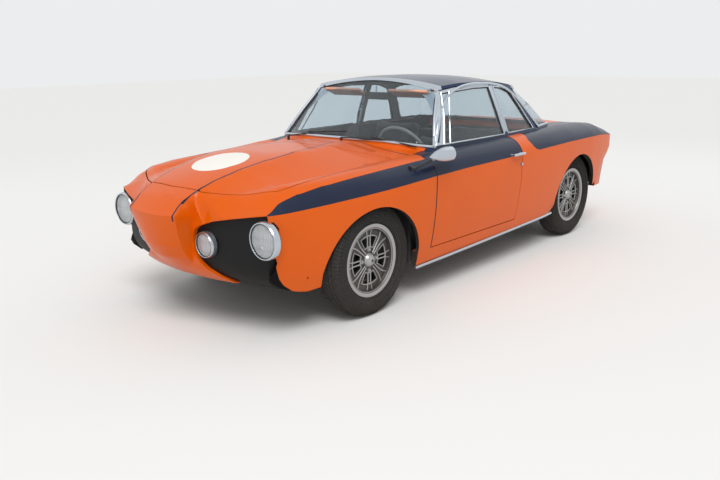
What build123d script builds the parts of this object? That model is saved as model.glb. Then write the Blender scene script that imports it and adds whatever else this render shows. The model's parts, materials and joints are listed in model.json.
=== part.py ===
from build123d import *
import os
from collections import namedtuple
from math import cos, radians, sin

# A two-door, rear-engined sports coupe of the 1960s, standing without its bumpers.
# Millimetres, +X the car's left, +Y rearward, +Z up, origin on the ground under the middle.

# Driving dimensions
WHEELBASE = 2400
FRONT_AXLE_Y = -1140
REAR_AXLE_Y = FRONT_AXLE_Y + WHEELBASE
FRONT_TRACK = 1305
REAR_TRACK = 1288
TYRE_RADIUS = 320
TYRE_WIDTH = 165
AXLE_Z = TYRE_RADIUS
SKIN = 25
DOOR_DEPTH = 60
PILLAR_DEPTH = 30
GAP = 6
GLASS_INSET = 8
GLASS = 5

# Panel lines in the side view
DOOR_FRONT_Y = -655
DOOR_REAR_Y = 310
DOOR_BOTTOM_Z = 302
SILL_FRONT_Z = 200
SILL_REAR_Z = 250
BELT_Z = 870

# Sections of the lower body, front to rear: the centre line's height, the bonnet ridge, the valley
# beside the bonnet, the crown of the shoulder and the crease along the side.
Station = namedtuple("Station", "y top ridge_x ridge_z valley_x valley_z crown_x crown_z crease_x crease_z")
STATIONS = [Station(*row) for row in (
    (-2110, 632, 212, 622, 262, 430, 400, 420, 560, 390),
    (-2060, 672, 208, 662, 262, 500, 405, 500, 580, 480),
    (-1990, 742, 192, 730, 262, 560, 410, 572, 590, 560),
    (-1930, 772, 198, 761, 276, 607, 420, 632, 612, 640),
    (-1905, 785, 203, 774, 290, 712, 440, 646, 622, 654),
    (-1880, 796, 207, 785, 310, 748, 470, 668, 634, 668),
    (-1820, 816, 216, 804, 390, 757, 545, 716, 652, 686),
    (-1740, 840, 228, 828, 440, 771, 595, 755, 684, 689),
    (-1640, 866, 247, 853, 485, 782, 630, 783, 706, 690),
    (-1480, 892, 259, 879, 512, 787, 655, 798, 735, 697),
    (-1240, 912, 240, 899, 525, 800, 675, 808, 765, 713),
    (-950, 914, 205, 904, 535, 815, 690, 820, 790, 730),
    (-740, 905, 160, 899, 560, 832, 700, 836, 801, 742),
    (-480, 872, 300, 871, 668, 861, 728, 848, 806, 750),
    (270, 874, 300, 873, 676, 869, 738, 852, 811, 758),
    (750, 878, 300, 877, 668, 873, 732, 856, 809, 767),
    (1100, 890, 300, 888, 630, 878, 712, 862, 802, 768),
    (1450, 878, 300, 876, 600, 866, 690, 854, 786, 768),
    (1640, 852, 300, 850, 585, 846, 672, 840, 770, 764),
    (1800, 815, 300, 813, 565, 808, 650, 803, 752, 755),
    (1900, 778, 300, 776, 545, 768, 630, 764, 738, 734),
    (2000, 730, 300, 728, 520, 718, 605, 714, 715, 690),
    (2090, 680, 300, 678, 490, 668, 575, 662, 680, 640),
)]
SIDE_SHARE = 0.36
SIDE_TUCK = 8
FOOT_Z = 150
FOOT_TUCK = 85

# Front wall in plan: the middle, an arc point and the corner of the wing, then back along the side
WALL_MIDDLE = (0, -1955)
WALL_ARC = (400, -1905)
WALL_CORNER = (655, -1818)
WALL_SIDE = (760, -1700)

# The front wall sweeps back below the lamps: height and set-back
WALL_LEVELS = ((60, 330), (300, 70), (337, 26), (372, 8), (420, 0), (1060, 0))

# Levels of the centre nose: height, the middle's Y, the corner's X and Y
Level = namedtuple("Level", "z middle_y corner_x corner_y")
NOSE_LEVELS = [Level(*row) for row in (
    (140, -1600, 120, -1560),
    (257, -1815, 145, -1775),
    (304, -1895, 155, -1850),
    (368, -1970, 165, -1918),
    (425, -2028, 172, -1970),
    (490, -2058, 178, -2008),
    (560, -2070, 188, -2032),
    (650, -2078, 206, -2055),
    (850, -2077, 211, -2058),
)]

NOSE_BACK_Y = -1400

# Levels of the tail wall: height, the middle's Y; the wall falls forward towards the corners
TAIL_LEVELS = ((140, 1890), (345, 1912), (434, 1925), (550, 1962), (600, 2020), (645, 2060), (700, 2062), (900, 2062))
TAIL_CORNER_X = 700
TAIL_SWEEP = 118
TAIL_SIDE_X = 850
TAIL_SIDE_SWEEP = 420

# Plan outline of the greenhouse at three heights: windscreen middle, arc point and corner, side
# points, rear pillar, rear corner and rear window middle
Pane = namedtuple("Pane", "z screen_y screen_arc_x screen_arc_y screen_x screen_corner_y "
                  "side_x side_y quarter_x quarter_y pillar_x pillar_y corner_x corner_y rear_y")
PANES = [Pane(*row) for row in (
    (870, -640, 380, -608, 672, -484, 684, 0, 678, 500, 660, 765, 600, 1050, 1120),
    (1040, -466, 350, -448, 614, -376, 622, 0, 616, 430, 600, 660, 545, 862, 925),
    (1215, -290, 310, -282, 527, -250, 548, 60, 545, 350, 528, 560, 445, 680, 735),
)]
PANE_LOW_Z = 780
PANE_HIGH_Z = 1320

# Crown of the roof: Y, the middle's height, the height at the drip rail
CROWN = (
    (-800, 1262, 1214),
    (-240, 1270, 1220),
    (-50, 1280, 1234),
    (200, 1278, 1236),
    (400, 1267, 1222),
    (560, 1247, 1198),
    (720, 1214, 1162),
    (900, 1170, 1115),
    (1250, 1060, 1005),
)
CROWN_EDGE_X = 550

# Outlines in the side view, (Y, Z)
DOOR_FRAME_TOP = ((-262, 1200), (-120, 1214), (100, 1222), (290, 1218))
DOOR_GLASS = ((-395, 885), (-262, 1182), (90, 1200), (266, 1196), (285, 885))
QUARTER_GLASS = ((332, 888), (316, 1194), (420, 1186), (530, 1152), (706, 888))
REAR_GLASS_EDGE = ((588, 1166), (790, 890))
REAR_GLASS_TOP = (752, 1200)
SCREEN_OPENING = ((0, 902), (330, 900), (648, 876), (509, 1196), (260, 1238), (0, 1254))

BUMPER_HOLE_R = 6
BUMPER_HOLE_TURN = 10
BUMPER_HOLE_PLANE = Plane(origin=(668, -1600, 325), x_dir=(0, 0, 1),
                          z_dir=(cos(radians(BUMPER_HOLE_TURN)), -sin(radians(BUMPER_HOLE_TURN)), 0))
FRONT_ARCH = ((-1508, 324), (-1140, 628), (-771, 315))
REAR_ARCH = ((886, 364), (1225, 650), (1572, 364))

BONNET_EDGE = ((0, -1925), (200, -1908), (372, -1828), (520, -1745), (578, -1700), (608, -1640), (612, -1400),
               (606, -1100), (608, -850), (578, -785), (535, -766), (430, -786), (343, -832), (267, -890), (190, -940),
               (0, -950))
SCUTTLE_FRONT_Y = -1000
SCUTTLE_HALF = 560
LID_HALF = 500
LID_FRONT_Y = 1190
LID_REAR_Y = 1945


def section(station, inset):
    """Half of one body section on the car's left, drawn inward by the inset, open below when inset."""
    s = station
    foot_z = FOOT_Z - 2 * inset
    half_ridge = s.ridge_x / 2
    flank = ((s.ridge_x + s.valley_x) / 2, (s.ridge_z + s.valley_z) / 2 - 4)
    with BuildSketch(Plane.XZ.offset(-s.y)) as sketch:
        with BuildLine():
            Line((0, foot_z), (0, s.top - inset))
            ThreePointArc((0, s.top - inset), (half_ridge, s.top - inset - (s.top - s.ridge_z) * 0.3),
                          (s.ridge_x, s.ridge_z - inset))
            ThreePointArc((s.ridge_x, s.ridge_z - inset), (flank[0], flank[1] - inset),
                          (s.valley_x, s.valley_z - inset))
            ThreePointArc((s.valley_x, s.valley_z - inset), (s.crown_x - inset * 0.5, s.crown_z - inset),
                          (s.crease_x - inset, s.crease_z - inset * 0.4))
            ThreePointArc((s.crease_x - inset, s.crease_z - inset * 0.4),
                          (s.crease_x - SIDE_TUCK - inset, s.crease_z - (s.crease_z - FOOT_Z) * SIDE_SHARE),
                          (s.crease_x - FOOT_TUCK - inset, foot_z))
            Line((s.crease_x - FOOT_TUCK - inset, foot_z), (0, foot_z))
        make_face()
    return sketch.sketch


def body_form(inset):
    """Half of the closed lower body, with the front wall, the nose and the tail, drawn inward."""
    with BuildPart() as walls:
        for z, set_back in WALL_LEVELS:
            back = inset + set_back
            with BuildSketch(Plane.XY.offset(z)):
                with BuildLine():
                    Line((0, 2300), (0, WALL_MIDDLE[1] + back))
                    ThreePointArc((0, WALL_MIDDLE[1] + back), (WALL_ARC[0], WALL_ARC[1] + back),
                                  (WALL_CORNER[0], WALL_CORNER[1] + back))
                    Polyline((WALL_CORNER[0], WALL_CORNER[1] + back), (WALL_SIDE[0], WALL_SIDE[1] + back),
                             (900, -1100), (900, 2300), (0, 2300))
                make_face()
        loft(ruled=True)
        for low, high in zip(NOSE_LEVELS, NOSE_LEVELS[1:]):
            for level in (low, high):
                with BuildSketch(Plane.XY.offset(level.z)):
                    with BuildLine():
                        Line((0, NOSE_BACK_Y), (0, level.middle_y + inset))
                        ThreePointArc((0, level.middle_y + inset),
                                      (level.corner_x * 0.55, level.middle_y * 0.75 + level.corner_y * 0.25 + inset),
                                      (level.corner_x - inset, level.corner_y + inset))
                        Polyline((level.corner_x - inset, level.corner_y + inset),
                                 (level.corner_x - inset, NOSE_BACK_Y), (0, NOSE_BACK_Y))
                    make_face()
            loft(ruled=True)
    with BuildPart() as tail:
        for z, middle_y in TAIL_LEVELS:
            rear = middle_y - inset
            with BuildSketch(Plane.XY.offset(z)):
                with BuildLine():
                    Line((0, -2200), (0, rear))
                    ThreePointArc((0, rear), (TAIL_CORNER_X / 2, rear - TAIL_SWEEP / 4),
                                  (TAIL_CORNER_X, rear - TAIL_SWEEP))
                    Polyline((TAIL_CORNER_X, rear - TAIL_SWEEP), (TAIL_SIDE_X, rear - TAIL_SIDE_SWEEP),
                             (TAIL_SIDE_X, -2200), (0, -2200))
                make_face()
        loft(ruled=True)
    with BuildPart() as form:
        for station in STATIONS:
            add(section(station, inset))
        loft(ruled=True)
        add(walls.part, mode=Mode.INTERSECT)
        add(tail.part, mode=Mode.INTERSECT)
    return form.part


def pane_at(z):
    """The greenhouse outline's values at any height, in line with the two nearest rows."""
    low, high = (PANES[0], PANES[1]) if z < PANES[1].z else (PANES[1], PANES[2])
    share = (z - low.z) / (high.z - low.z)
    return Pane(*(a + (b - a) * share for a, b in zip(low, high)))


def pane_outline(z, inset):
    """Half of the greenhouse outline at one height, drawn inward by the inset."""
    p = pane_at(z)
    screen_y = p.screen_y + inset
    with BuildSketch(Plane.XY.offset(z)) as sketch:
        with BuildLine():
            Line((0, 200), (0, screen_y))
            ThreePointArc((0, screen_y), (p.screen_arc_x, p.screen_arc_y + inset),
                          (p.screen_x - inset, p.screen_corner_y + inset))
            ThreePointArc((p.screen_x - inset, p.screen_corner_y + inset), (p.side_x - inset, p.side_y),
                          (p.quarter_x - inset, p.quarter_y))
            Line((p.quarter_x - inset, p.quarter_y), (p.pillar_x - inset, p.pillar_y))
            Line((p.pillar_x - inset, p.pillar_y), (p.corner_x - inset * 0.8, p.corner_y - inset * 0.6))
            ThreePointArc((p.corner_x - inset * 0.8, p.corner_y - inset * 0.6),
                          (p.corner_x * 0.62, p.corner_y * 0.25 + p.rear_y * 0.75 - inset), (0, p.rear_y - inset))
            Line((0, p.rear_y - inset), (0, 200))
        make_face()
    return sketch.sketch


def greenhouse_form(inset):
    """Half of the closed cabin above the belt, under its crowned roof, drawn inward by the inset."""
    with BuildPart() as crown:
        for y, middle_z, edge_z in CROWN:
            with BuildSketch(Plane.XZ.offset(-y)):
                with BuildLine():
                    drop = middle_z - edge_z
                    Line((0, 500), (0, middle_z - inset))
                    ThreePointArc((0, middle_z - inset), (CROWN_EDGE_X / 2, middle_z - inset - drop * 0.25),
                                  (CROWN_EDGE_X, edge_z - inset))
                    Polyline((CROWN_EDGE_X, edge_z - inset), (800, edge_z - inset - drop * 1.4), (800, 500), (0, 500))
                make_face()
        loft(ruled=True)
    with BuildPart() as form:
        for z in (PANE_LOW_Z, PANES[1].z, PANE_HIGH_Z):
            add(pane_outline(z, inset))
        loft(ruled=True)
        add(crown.part, mode=Mode.INTERSECT)
    return form.part


def side_prism(points, near=300, far=950):
    """A closed outline of the side view as a bar across the car's left, from near to far."""
    with BuildPart() as bar:
        with BuildSketch(Plane.YZ.offset(near)):
            with BuildLine():
                Polyline(*points, close=True)
            make_face()
        extrude(amount=far - near)
    return bar.part


def arch_prism(arch):
    """A wheel arch as a bar across the car's left: an arc over the tyre, open below."""
    front, top, rear = arch
    with BuildPart() as bar:
        with BuildSketch(Plane.YZ.offset(300)):
            with BuildLine():
                ThreePointArc(front, top, rear)
                Polyline(rear, (rear[0], 0), (front[0], 0), front)
            make_face()
        extrude(amount=650)
    return bar.part


def plan_prism(points, low=200, high=1100):
    """A closed outline of the plan view as an upright bar."""
    with BuildPart() as bar:
        with BuildSketch(Plane.XY.offset(low)):
            with BuildLine():
                Polyline(*points, close=True)
            make_face()
        extrude(amount=high - low)
    return bar.part


def front_prism(points, depth):
    """A closed outline of the front view as a bar along the car's nose."""
    with BuildPart() as bar:
        with BuildSketch(Plane.XZ.offset(2200)):
            with BuildLine():
                Polyline(*points, close=True)
            make_face()
        extrude(amount=-depth)
    return bar.part


def both_sides(shape):
    """A left piece with its mirror image."""
    with BuildPart() as pair:
        add(shape)
        mirror(about=Plane.YZ)
    return pair.part


pieces = {}


def finish(name, shape):
    """Label a finished piece and keep it for export."""
    shape.label = name
    pieces[name] = shape


def finish_sides(name, shape):
    """Keep a left piece and its mirror image as two nodes."""
    finish(name + "_left", shape)
    with BuildPart() as right:
        add(shape)
        mirror(about=Plane.YZ, mode=Mode.REPLACE)
    finish(name + "_right", right.part)


# Forms that every panel is cut from
outer = body_form(0)
inner = body_form(SKIN)
door_inner = body_form(DOOR_DEPTH)
house = greenhouse_form(0)
house_inner = greenhouse_form(PILLAR_DEPTH)
glass_outer = greenhouse_form(GLASS_INSET)
glass_inner = greenhouse_form(GLASS_INSET + GLASS)

with BuildPart() as cabin_void:
    add(pane_outline(BELT_Z, PILLAR_DEPTH))
    extrude(amount=470, both=True)

with BuildPart() as skin:
    add(outer)
    add(inner, mode=Mode.SUBTRACT)
    add(cabin_void.part, mode=Mode.SUBTRACT)

with BuildPart() as house_shell:
    add(house)
    add(house_inner, mode=Mode.SUBTRACT)

# The door's hinge line and the radius that its rear edge swings on
HINGE_X = 803
HINGE_Y = DOOR_FRONT_Y + 15
DOOR_SWING = DOOR_REAR_Y - GAP / 2 - HINGE_Y
DOOR_CAP_X = 655


def door_region(grow):
    """The door's outline in the side view, grown or shrunk, with its rear edge on the swing radius."""
    front = DOOR_FRONT_Y - grow
    top = [(y, z + grow) for y, z in DOOR_FRAME_TOP]
    with BuildPart() as region:
        add(side_prism([(front, DOOR_BOTTOM_Z - grow), (front, 900), (420, 900), (420, DOOR_BOTTOM_Z - grow)],
                       DOOR_CAP_X))
        add(side_prism([(-470 - grow, 860), *top, (420, 1200), (420, 860)]))
        with BuildSketch(Plane.XY.offset(100)):
            with Locations((HINGE_X, HINGE_Y)):
                Circle(DOOR_SWING + grow)
        extrude(amount=1300, mode=Mode.INTERSECT)
    return region.part


door_hole = door_region(GAP / 2)
door_block = door_region(-GAP / 2)

sill_zone = side_prism([(-768, SILL_FRONT_Z + 10), (-768, DOOR_BOTTOM_Z - GAP / 2), (880, DOOR_BOTTOM_Z - GAP / 2),
                        (820, SILL_REAR_Z)], 300)
front_arch = arch_prism(FRONT_ARCH)
rear_arch = arch_prism(REAR_ARCH)

bonnet_hole = plan_prism(BONNET_EDGE, 560)
with BuildPart() as bonnet_block:
    with BuildSketch(Plane.XY.offset(560)):
        with BuildLine():
            Polyline(*BONNET_EDGE, *((-x, y) for x, y in reversed(BONNET_EDGE[1:-1])), close=True)
        make_face()
        offset(amount=-GAP, kind=Kind.INTERSECTION)
        Rectangle(1000, 2000, align=(Align.MIN, Align.MAX), mode=Mode.INTERSECT)
    extrude(amount=540)
LID_TAPER = 30
LID_LOW_Z = 640
lid_hole = plan_prism([(0, LID_FRONT_Y), (LID_HALF, LID_FRONT_Y), (LID_HALF - LID_TAPER, LID_REAR_Y),
                       (0, LID_REAR_Y + LID_TAPER)], LID_LOW_Z)
lid_block = plan_prism([(0, LID_FRONT_Y + GAP), (LID_HALF - GAP, LID_FRONT_Y + GAP),
                        (LID_HALF - LID_TAPER - GAP, LID_REAR_Y - GAP), (0, LID_REAR_Y + LID_TAPER - GAP)], LID_LOW_Z)

# Bonnet
with BuildPart() as bonnet:
    add(skin.part)
    add(bonnet_block.part, mode=Mode.INTERSECT)
finish("bonnet", both_sides(bonnet.part))

# Boot lid
with BuildPart() as lid:
    add(skin.part)
    add(lid_block, mode=Mode.INTERSECT)
finish("boot_lid", both_sides(lid.part))

# Lamp pockets, closed by a black panel behind the front wall: the hole's outline in the front view
POCKET_LOW_Z = 290
POCKET_EDGE = ((385, 299), (304, 346), (262, 372), (228, 400), (203, 428), (190, 460), (185, 505), (189, 545),
               (204, 575), (232, 596), (280, 614), (331, 631), (438, 652), (552, 671), (640, 684), (652, 600),
               (652, 440), (642, 400), (618, 350), (610, 299))
pocket_hole = front_prism([(385, 0), *POCKET_EDGE, (610, 0)], 520)
with BuildPart() as pocket:
    add(inner)
    add(door_inner, mode=Mode.SUBTRACT)
    add(front_prism([(176, POCKET_LOW_Z), (176, 620), (300, 645), (500, 680), (668, 700), (668, POCKET_LOW_Z)], 520),
        mode=Mode.INTERSECT)
finish("lamp_pockets", both_sides(pocket.part))

# Centre nose with the strip in front of the bonnet and the valance under the pockets
NOSE_LOW_Z = 295
NOSE_HALF = 200
VALANCE_EDGE = ((0, 0), (400, 0), (400, 299), (304, 372), (262, 398), (228, 425), (NOSE_HALF, 460), (0, 460))
nose_zone = plan_prism([(0, -2300), (230, -2300), (230, -1958), (NOSE_HALF, -1958), (NOSE_HALF, -1600), (0, -1600)], 0)
valance_zone = front_prism(VALANCE_EDGE, 480)
with BuildPart() as nose:
    add(nose_zone)
    add(valance_zone)
    add(skin.part, mode=Mode.INTERSECT)
    add(bonnet_hole, mode=Mode.SUBTRACT)
    add(pocket_hole, mode=Mode.SUBTRACT)
    with BuildSketch(Plane.XY):
        Rectangle(1000, 5000)
    extrude(amount=NOSE_LOW_Z, mode=Mode.SUBTRACT)
finish("nose_panel", both_sides(nose.part))

# Front lamps: two headlamps and two fog lamps, each a ring with a crowned lens
Lamp = namedtuple("Lamp", "x y z radius")
LAMPS = (Lamp(622, -1836, 559, 100), Lamp(264, -1936, 500, 71))
LAMP_RING = 34
LAMP_DEPTH = 60
LENS_CROWN = 6
with BuildPart() as lamps:
    for lamp in LAMPS:
        with BuildSketch(Plane.XY.offset(lamp.z)):
            with BuildLine():
                r = lamp.radius
                lens_edge = (lamp.x + r * 0.86, lamp.y + 8)
                Line((lamp.x, lamp.y + LAMP_DEPTH), (lamp.x, lamp.y - LENS_CROWN))
                ThreePointArc((lamp.x, lamp.y - LENS_CROWN), (lamp.x + r * 0.45, lamp.y - 2), lens_edge)
                Polyline(lens_edge, (lamp.x + r * 0.9, lamp.y), (lamp.x + r, lamp.y + 10),
                         (lamp.x + r, lamp.y + LAMP_RING), (lamp.x + r * 0.75, lamp.y + LAMP_DEPTH),
                         (lamp.x, lamp.y + LAMP_DEPTH))
            make_face()
        revolve(axis=Axis((lamp.x, lamp.y, lamp.z), (0, 1, 0)))
    add(pocket.part, mode=Mode.SUBTRACT)
    mirror(about=Plane.YZ)
finish("front_lamps", lamps.part)

# Front wings
with BuildPart() as wing:
    add(skin.part)
    add(plan_prism([(NOSE_HALF, -1958), (NOSE_HALF, -2200), (900, -2200), (900, DOOR_FRONT_Y + GAP / 2),
                    (SCUTTLE_HALF, DOOR_FRONT_Y + GAP / 2), (SCUTTLE_HALF, SCUTTLE_FRONT_Y),
                    (NOSE_HALF, -1500)], 0), mode=Mode.INTERSECT)
    for cut in (bonnet_hole, nose_zone, valance_zone, pocket_hole, sill_zone, front_arch):
        add(cut, mode=Mode.SUBTRACT)
    add(side_prism([(-2200, 0), (-2200, 295), (-1750, 295), (-1700, 274), (-1645, 257), (-1592, 246), (-1508, 252),
                    (-600, SILL_FRONT_Z + 70), (-600, 0)], 0), mode=Mode.SUBTRACT)
    with BuildSketch(Plane.XZ.offset(2100)):
        with Locations((LAMPS[0].x, LAMPS[0].z)):
            Circle(LAMPS[0].radius)
    extrude(amount=-2100 - LAMPS[0].y + LAMP_RING, mode=Mode.SUBTRACT)
    add(lamps.part, mode=Mode.SUBTRACT)
    with BuildSketch(BUMPER_HOLE_PLANE):
        Circle(BUMPER_HOLE_R)
    extrude(amount=60, both=True, mode=Mode.SUBTRACT)
finish_sides("front_wing", wing.part)

# Scuttle between the bonnet and the windscreen, with the air slots
SLOT_Y = -735
SLOT_LENGTH = 50
SLOT_WIDTH = 8
SLOT_XS = [190 + 18 * i for i in range(12)]
with BuildPart() as scuttle:
    add(skin.part)
    add(plan_prism([(0, SCUTTLE_FRONT_Y), (SCUTTLE_HALF, SCUTTLE_FRONT_Y), (SCUTTLE_HALF, DOOR_FRONT_Y + GAP / 2),
                    (700, DOOR_FRONT_Y + GAP / 2), (700, -440), (0, -440)], 600), mode=Mode.INTERSECT)
    for cut in (door_hole, bonnet_hole):
        add(cut, mode=Mode.SUBTRACT)
    with BuildSketch(Plane.XY.offset(700)):
        with Locations(*((x, SLOT_Y) for x in SLOT_XS)):
            Rectangle(SLOT_WIDTH, SLOT_LENGTH)
    extrude(amount=300, mode=Mode.SUBTRACT)
finish("scuttle", both_sides(scuttle.part))

# Rear quarter panels
with BuildPart() as quarter:
    add(outer)
    add(door_inner, mode=Mode.SUBTRACT)
    add(cabin_void.part, mode=Mode.SUBTRACT)
    add(plan_prism([(0, 200), (900, 200), (900, 1900), (520, 1900), (520, 1180), (0, 1180)], 0), mode=Mode.INTERSECT)
    add(lid_hole, mode=Mode.SUBTRACT)
    add(door_hole, mode=Mode.SUBTRACT)
    add(rear_arch, mode=Mode.SUBTRACT)
    add(sill_zone, mode=Mode.SUBTRACT)
    with BuildSketch(Plane.YZ.offset(300)):
        with Locations((REAR_AXLE_Y, AXLE_Z)):
            Circle(TYRE_RADIUS + 45)
    extrude(amount=442, mode=Mode.SUBTRACT)
    add(side_prism([(0, 100), (0, 290), (820, 300), (1560, 340), (2100, 345), (2100, 100)], 300), mode=Mode.SUBTRACT)
with BuildPart() as quarter_front:
    add(quarter.part)
    add(plan_prism([(0, 300), (0, 1180), (520, 1180), (520, 1900), (900, 1900), (900, 300)], 0), mode=Mode.INTERSECT)
finish_sides("rear_quarter", quarter_front.part)

# Tail panel across the rear, under the boot lid
with BuildPart() as tail_panel:
    add(skin.part)
    add(plan_prism([(0, 1180), (520, 1180), (520, 1900), (900, 1900), (900, 2300), (0, 2300)], 345), mode=Mode.INTERSECT)
    add(lid_hole, mode=Mode.SUBTRACT)
finish("tail_panel", both_sides(tail_panel.part))

# Roof with the windscreen pillars and the rear pillars
with BuildPart() as screen_bar:
    with BuildSketch(Plane.XZ.offset(900)):
        with BuildLine():
            Polyline(*SCREEN_OPENING[:4])
            ThreePointArc(SCREEN_OPENING[3], SCREEN_OPENING[4], SCREEN_OPENING[5])
            Line(SCREEN_OPENING[5], SCREEN_OPENING[0])
        make_face()
    extrude(amount=-750)
quarter_bar = side_prism(QUARTER_GLASS)
door_glass_bar = side_prism(DOOR_GLASS)
rear_bar = side_prism([REAR_GLASS_EDGE[0], REAR_GLASS_TOP, (1400, REAR_GLASS_TOP[1]), (1400, REAR_GLASS_EDGE[1][1]),
                       REAR_GLASS_EDGE[1]], 0)
with BuildPart() as roof:
    add(house_shell.part)
    for cut in (outer, door_hole, screen_bar.part, quarter_bar, rear_bar):
        add(cut, mode=Mode.SUBTRACT)
finish("roof", both_sides(roof.part))


def pane(bar, *cuts):
    """A curved pane of glass in one opening of the greenhouse, less the cuts."""
    with BuildPart() as glass:
        add(glass_outer)
        add(glass_inner, mode=Mode.SUBTRACT)
        add(bar, mode=Mode.INTERSECT)
        for cut in (outer, *cuts):
            add(cut, mode=Mode.SUBTRACT)
    return glass.part


finish("windscreen", both_sides(pane(screen_bar.part, door_hole)))
finish("rear_window", both_sides(pane(rear_bar)))
finish_sides("quarter_glass", pane(quarter_bar, door_hole))
finish_sides("door_glass", pane(door_glass_bar))

# Doors
with BuildPart() as door:
    add(outer)
    add(door_inner, mode=Mode.SUBTRACT)
    add(cabin_void.part, mode=Mode.SUBTRACT)
    add(house_shell.part)
    add(door_block, mode=Mode.INTERSECT)
    add(door_glass_bar, mode=Mode.SUBTRACT)
finish_sides("door", door.part)

# Sills
with BuildPart() as sill:
    add(outer)
    add(door_inner, mode=Mode.SUBTRACT)
    add(sill_zone, mode=Mode.INTERSECT)
finish("sills", both_sides(sill.part))

# Floor, tunnel, toe board, rear seat pan and rear bulkhead: each a block with its size and place
FLOOR_Z = 215
FLOOR_TOP_Z = 240
FLOOR_WIDTH = 1330
PAN_WIDTH = 980
Block = namedtuple("Block", "low_z height width length y")
TUB_BLOCKS = (
    Block(FLOOR_Z, FLOOR_TOP_Z - FLOOR_Z, FLOOR_WIDTH, 1480, -10),
    Block(FLOOR_TOP_Z, 120, 170, 1220, -140),
    Block(FLOOR_TOP_Z, 520, FLOOR_WIDTH, 24, -738),
    Block(FLOOR_TOP_Z, 25, PAN_WIDTH, 142, 801),
    Block(FLOOR_TOP_Z, 560, PAN_WIDTH, 24, 860),
)


def upright_block(block, middles=(0,)):
    """A block with level top and bottom, at one or more middles along X."""
    with BuildPart() as made:
        with BuildSketch(Plane.XY.offset(block.low_z)):
            with Locations(*((x, block.y) for x in middles)):
                Rectangle(block.width, block.length)
        extrude(amount=block.height)
    return made.part


with BuildPart() as tub:
    for block in TUB_BLOCKS:
        add(upright_block(block))
    add(both_sides(inner), mode=Mode.INTERSECT)
finish("tub", tub.part)

# Front boot pan between the wheelhouses
BOOT_HALF = 385
BOOT_FLOOR_Z = 450
BOOT_WALL = 16
with BuildPart() as front_boot:
    add(upright_block(Block(BOOT_FLOOR_Z, 15, 2 * BOOT_HALF, 1040, -1270)))
    add(upright_block(Block(BOOT_FLOOR_Z, 350, BOOT_WALL, 1040, -1270), (8 - BOOT_HALF, BOOT_HALF - 8)))
    add(upright_block(Block(BOOT_FLOOR_Z, 350, 2 * BOOT_HALF, BOOT_WALL, -1782)))
    add(both_sides(door_inner), mode=Mode.INTERSECT)
finish("front_boot", front_boot.part)

# Rear deck over the engine, with the inner walls of the rear wheelhouses
DECK_HALF = 505
DECK_Z = 640
WHEELHOUSE_LOW_Z = 365
with BuildPart() as rear_deck:
    add(upright_block(Block(DECK_Z, 15, 2 * DECK_HALF, 1056, 1400)))
    add(upright_block(Block(WHEELHOUSE_LOW_Z, 415, BOOT_WALL, 760, 1252), (8 - DECK_HALF, DECK_HALF - 8)))
    add(both_sides(door_inner), mode=Mode.INTERSECT)
finish("rear_deck", rear_deck.part)

# Tyres and wheels, drawn in section along the axle
RIM_HALF = 62
BEAD_R = 190
FLANGE_R = 208
BARREL_R = 184
HUB_R = 34
BORE_R = 20.4
STUB_R = 20
DISC_BACK = 22
DISC_FRONT = 36
WINDOW_IN_R = 76
WINDOW_OUT_R = 138
WINDOW_HALF_ANGLE = 27
RIB = 6


def axle_plane(track, y):
    """The left wheel's middle, with the axle along local X."""
    return Plane(origin=(track / 2, y, AXLE_Z), x_dir=(1, 0, 0), z_dir=(0, 0, 1))


def tyre(track, y):
    """One left tyre, its bead on the rim."""
    half = TYRE_WIDTH / 2
    with BuildPart() as ring:
        with BuildSketch(axle_plane(track, y)):
            with BuildLine():
                Polyline((56, BEAD_R), (56, FLANGE_R + 1), (66, FLANGE_R + 3))
                ThreePointArc((66, FLANGE_R + 3), (half, 262), (62, 311))
                ThreePointArc((62, 311), (0, TYRE_RADIUS), (-62, 311))
                ThreePointArc((-62, 311), (-half, 262), (-66, FLANGE_R + 3))
                Polyline((-66, FLANGE_R + 3), (-56, FLANGE_R + 1), (-56, BEAD_R), (56, BEAD_R))
            make_face()
        revolve(axis=Axis((track / 2, y, AXLE_Z), (1, 0, 0)))
    return ring.part


def face_plane(track, y, outward):
    """A plane across the wheel, at a distance outward from its middle."""
    return Plane(origin=(track / 2 + outward, y, AXLE_Z), x_dir=(0, 1, 0), z_dir=(1, 0, 0))


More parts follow.
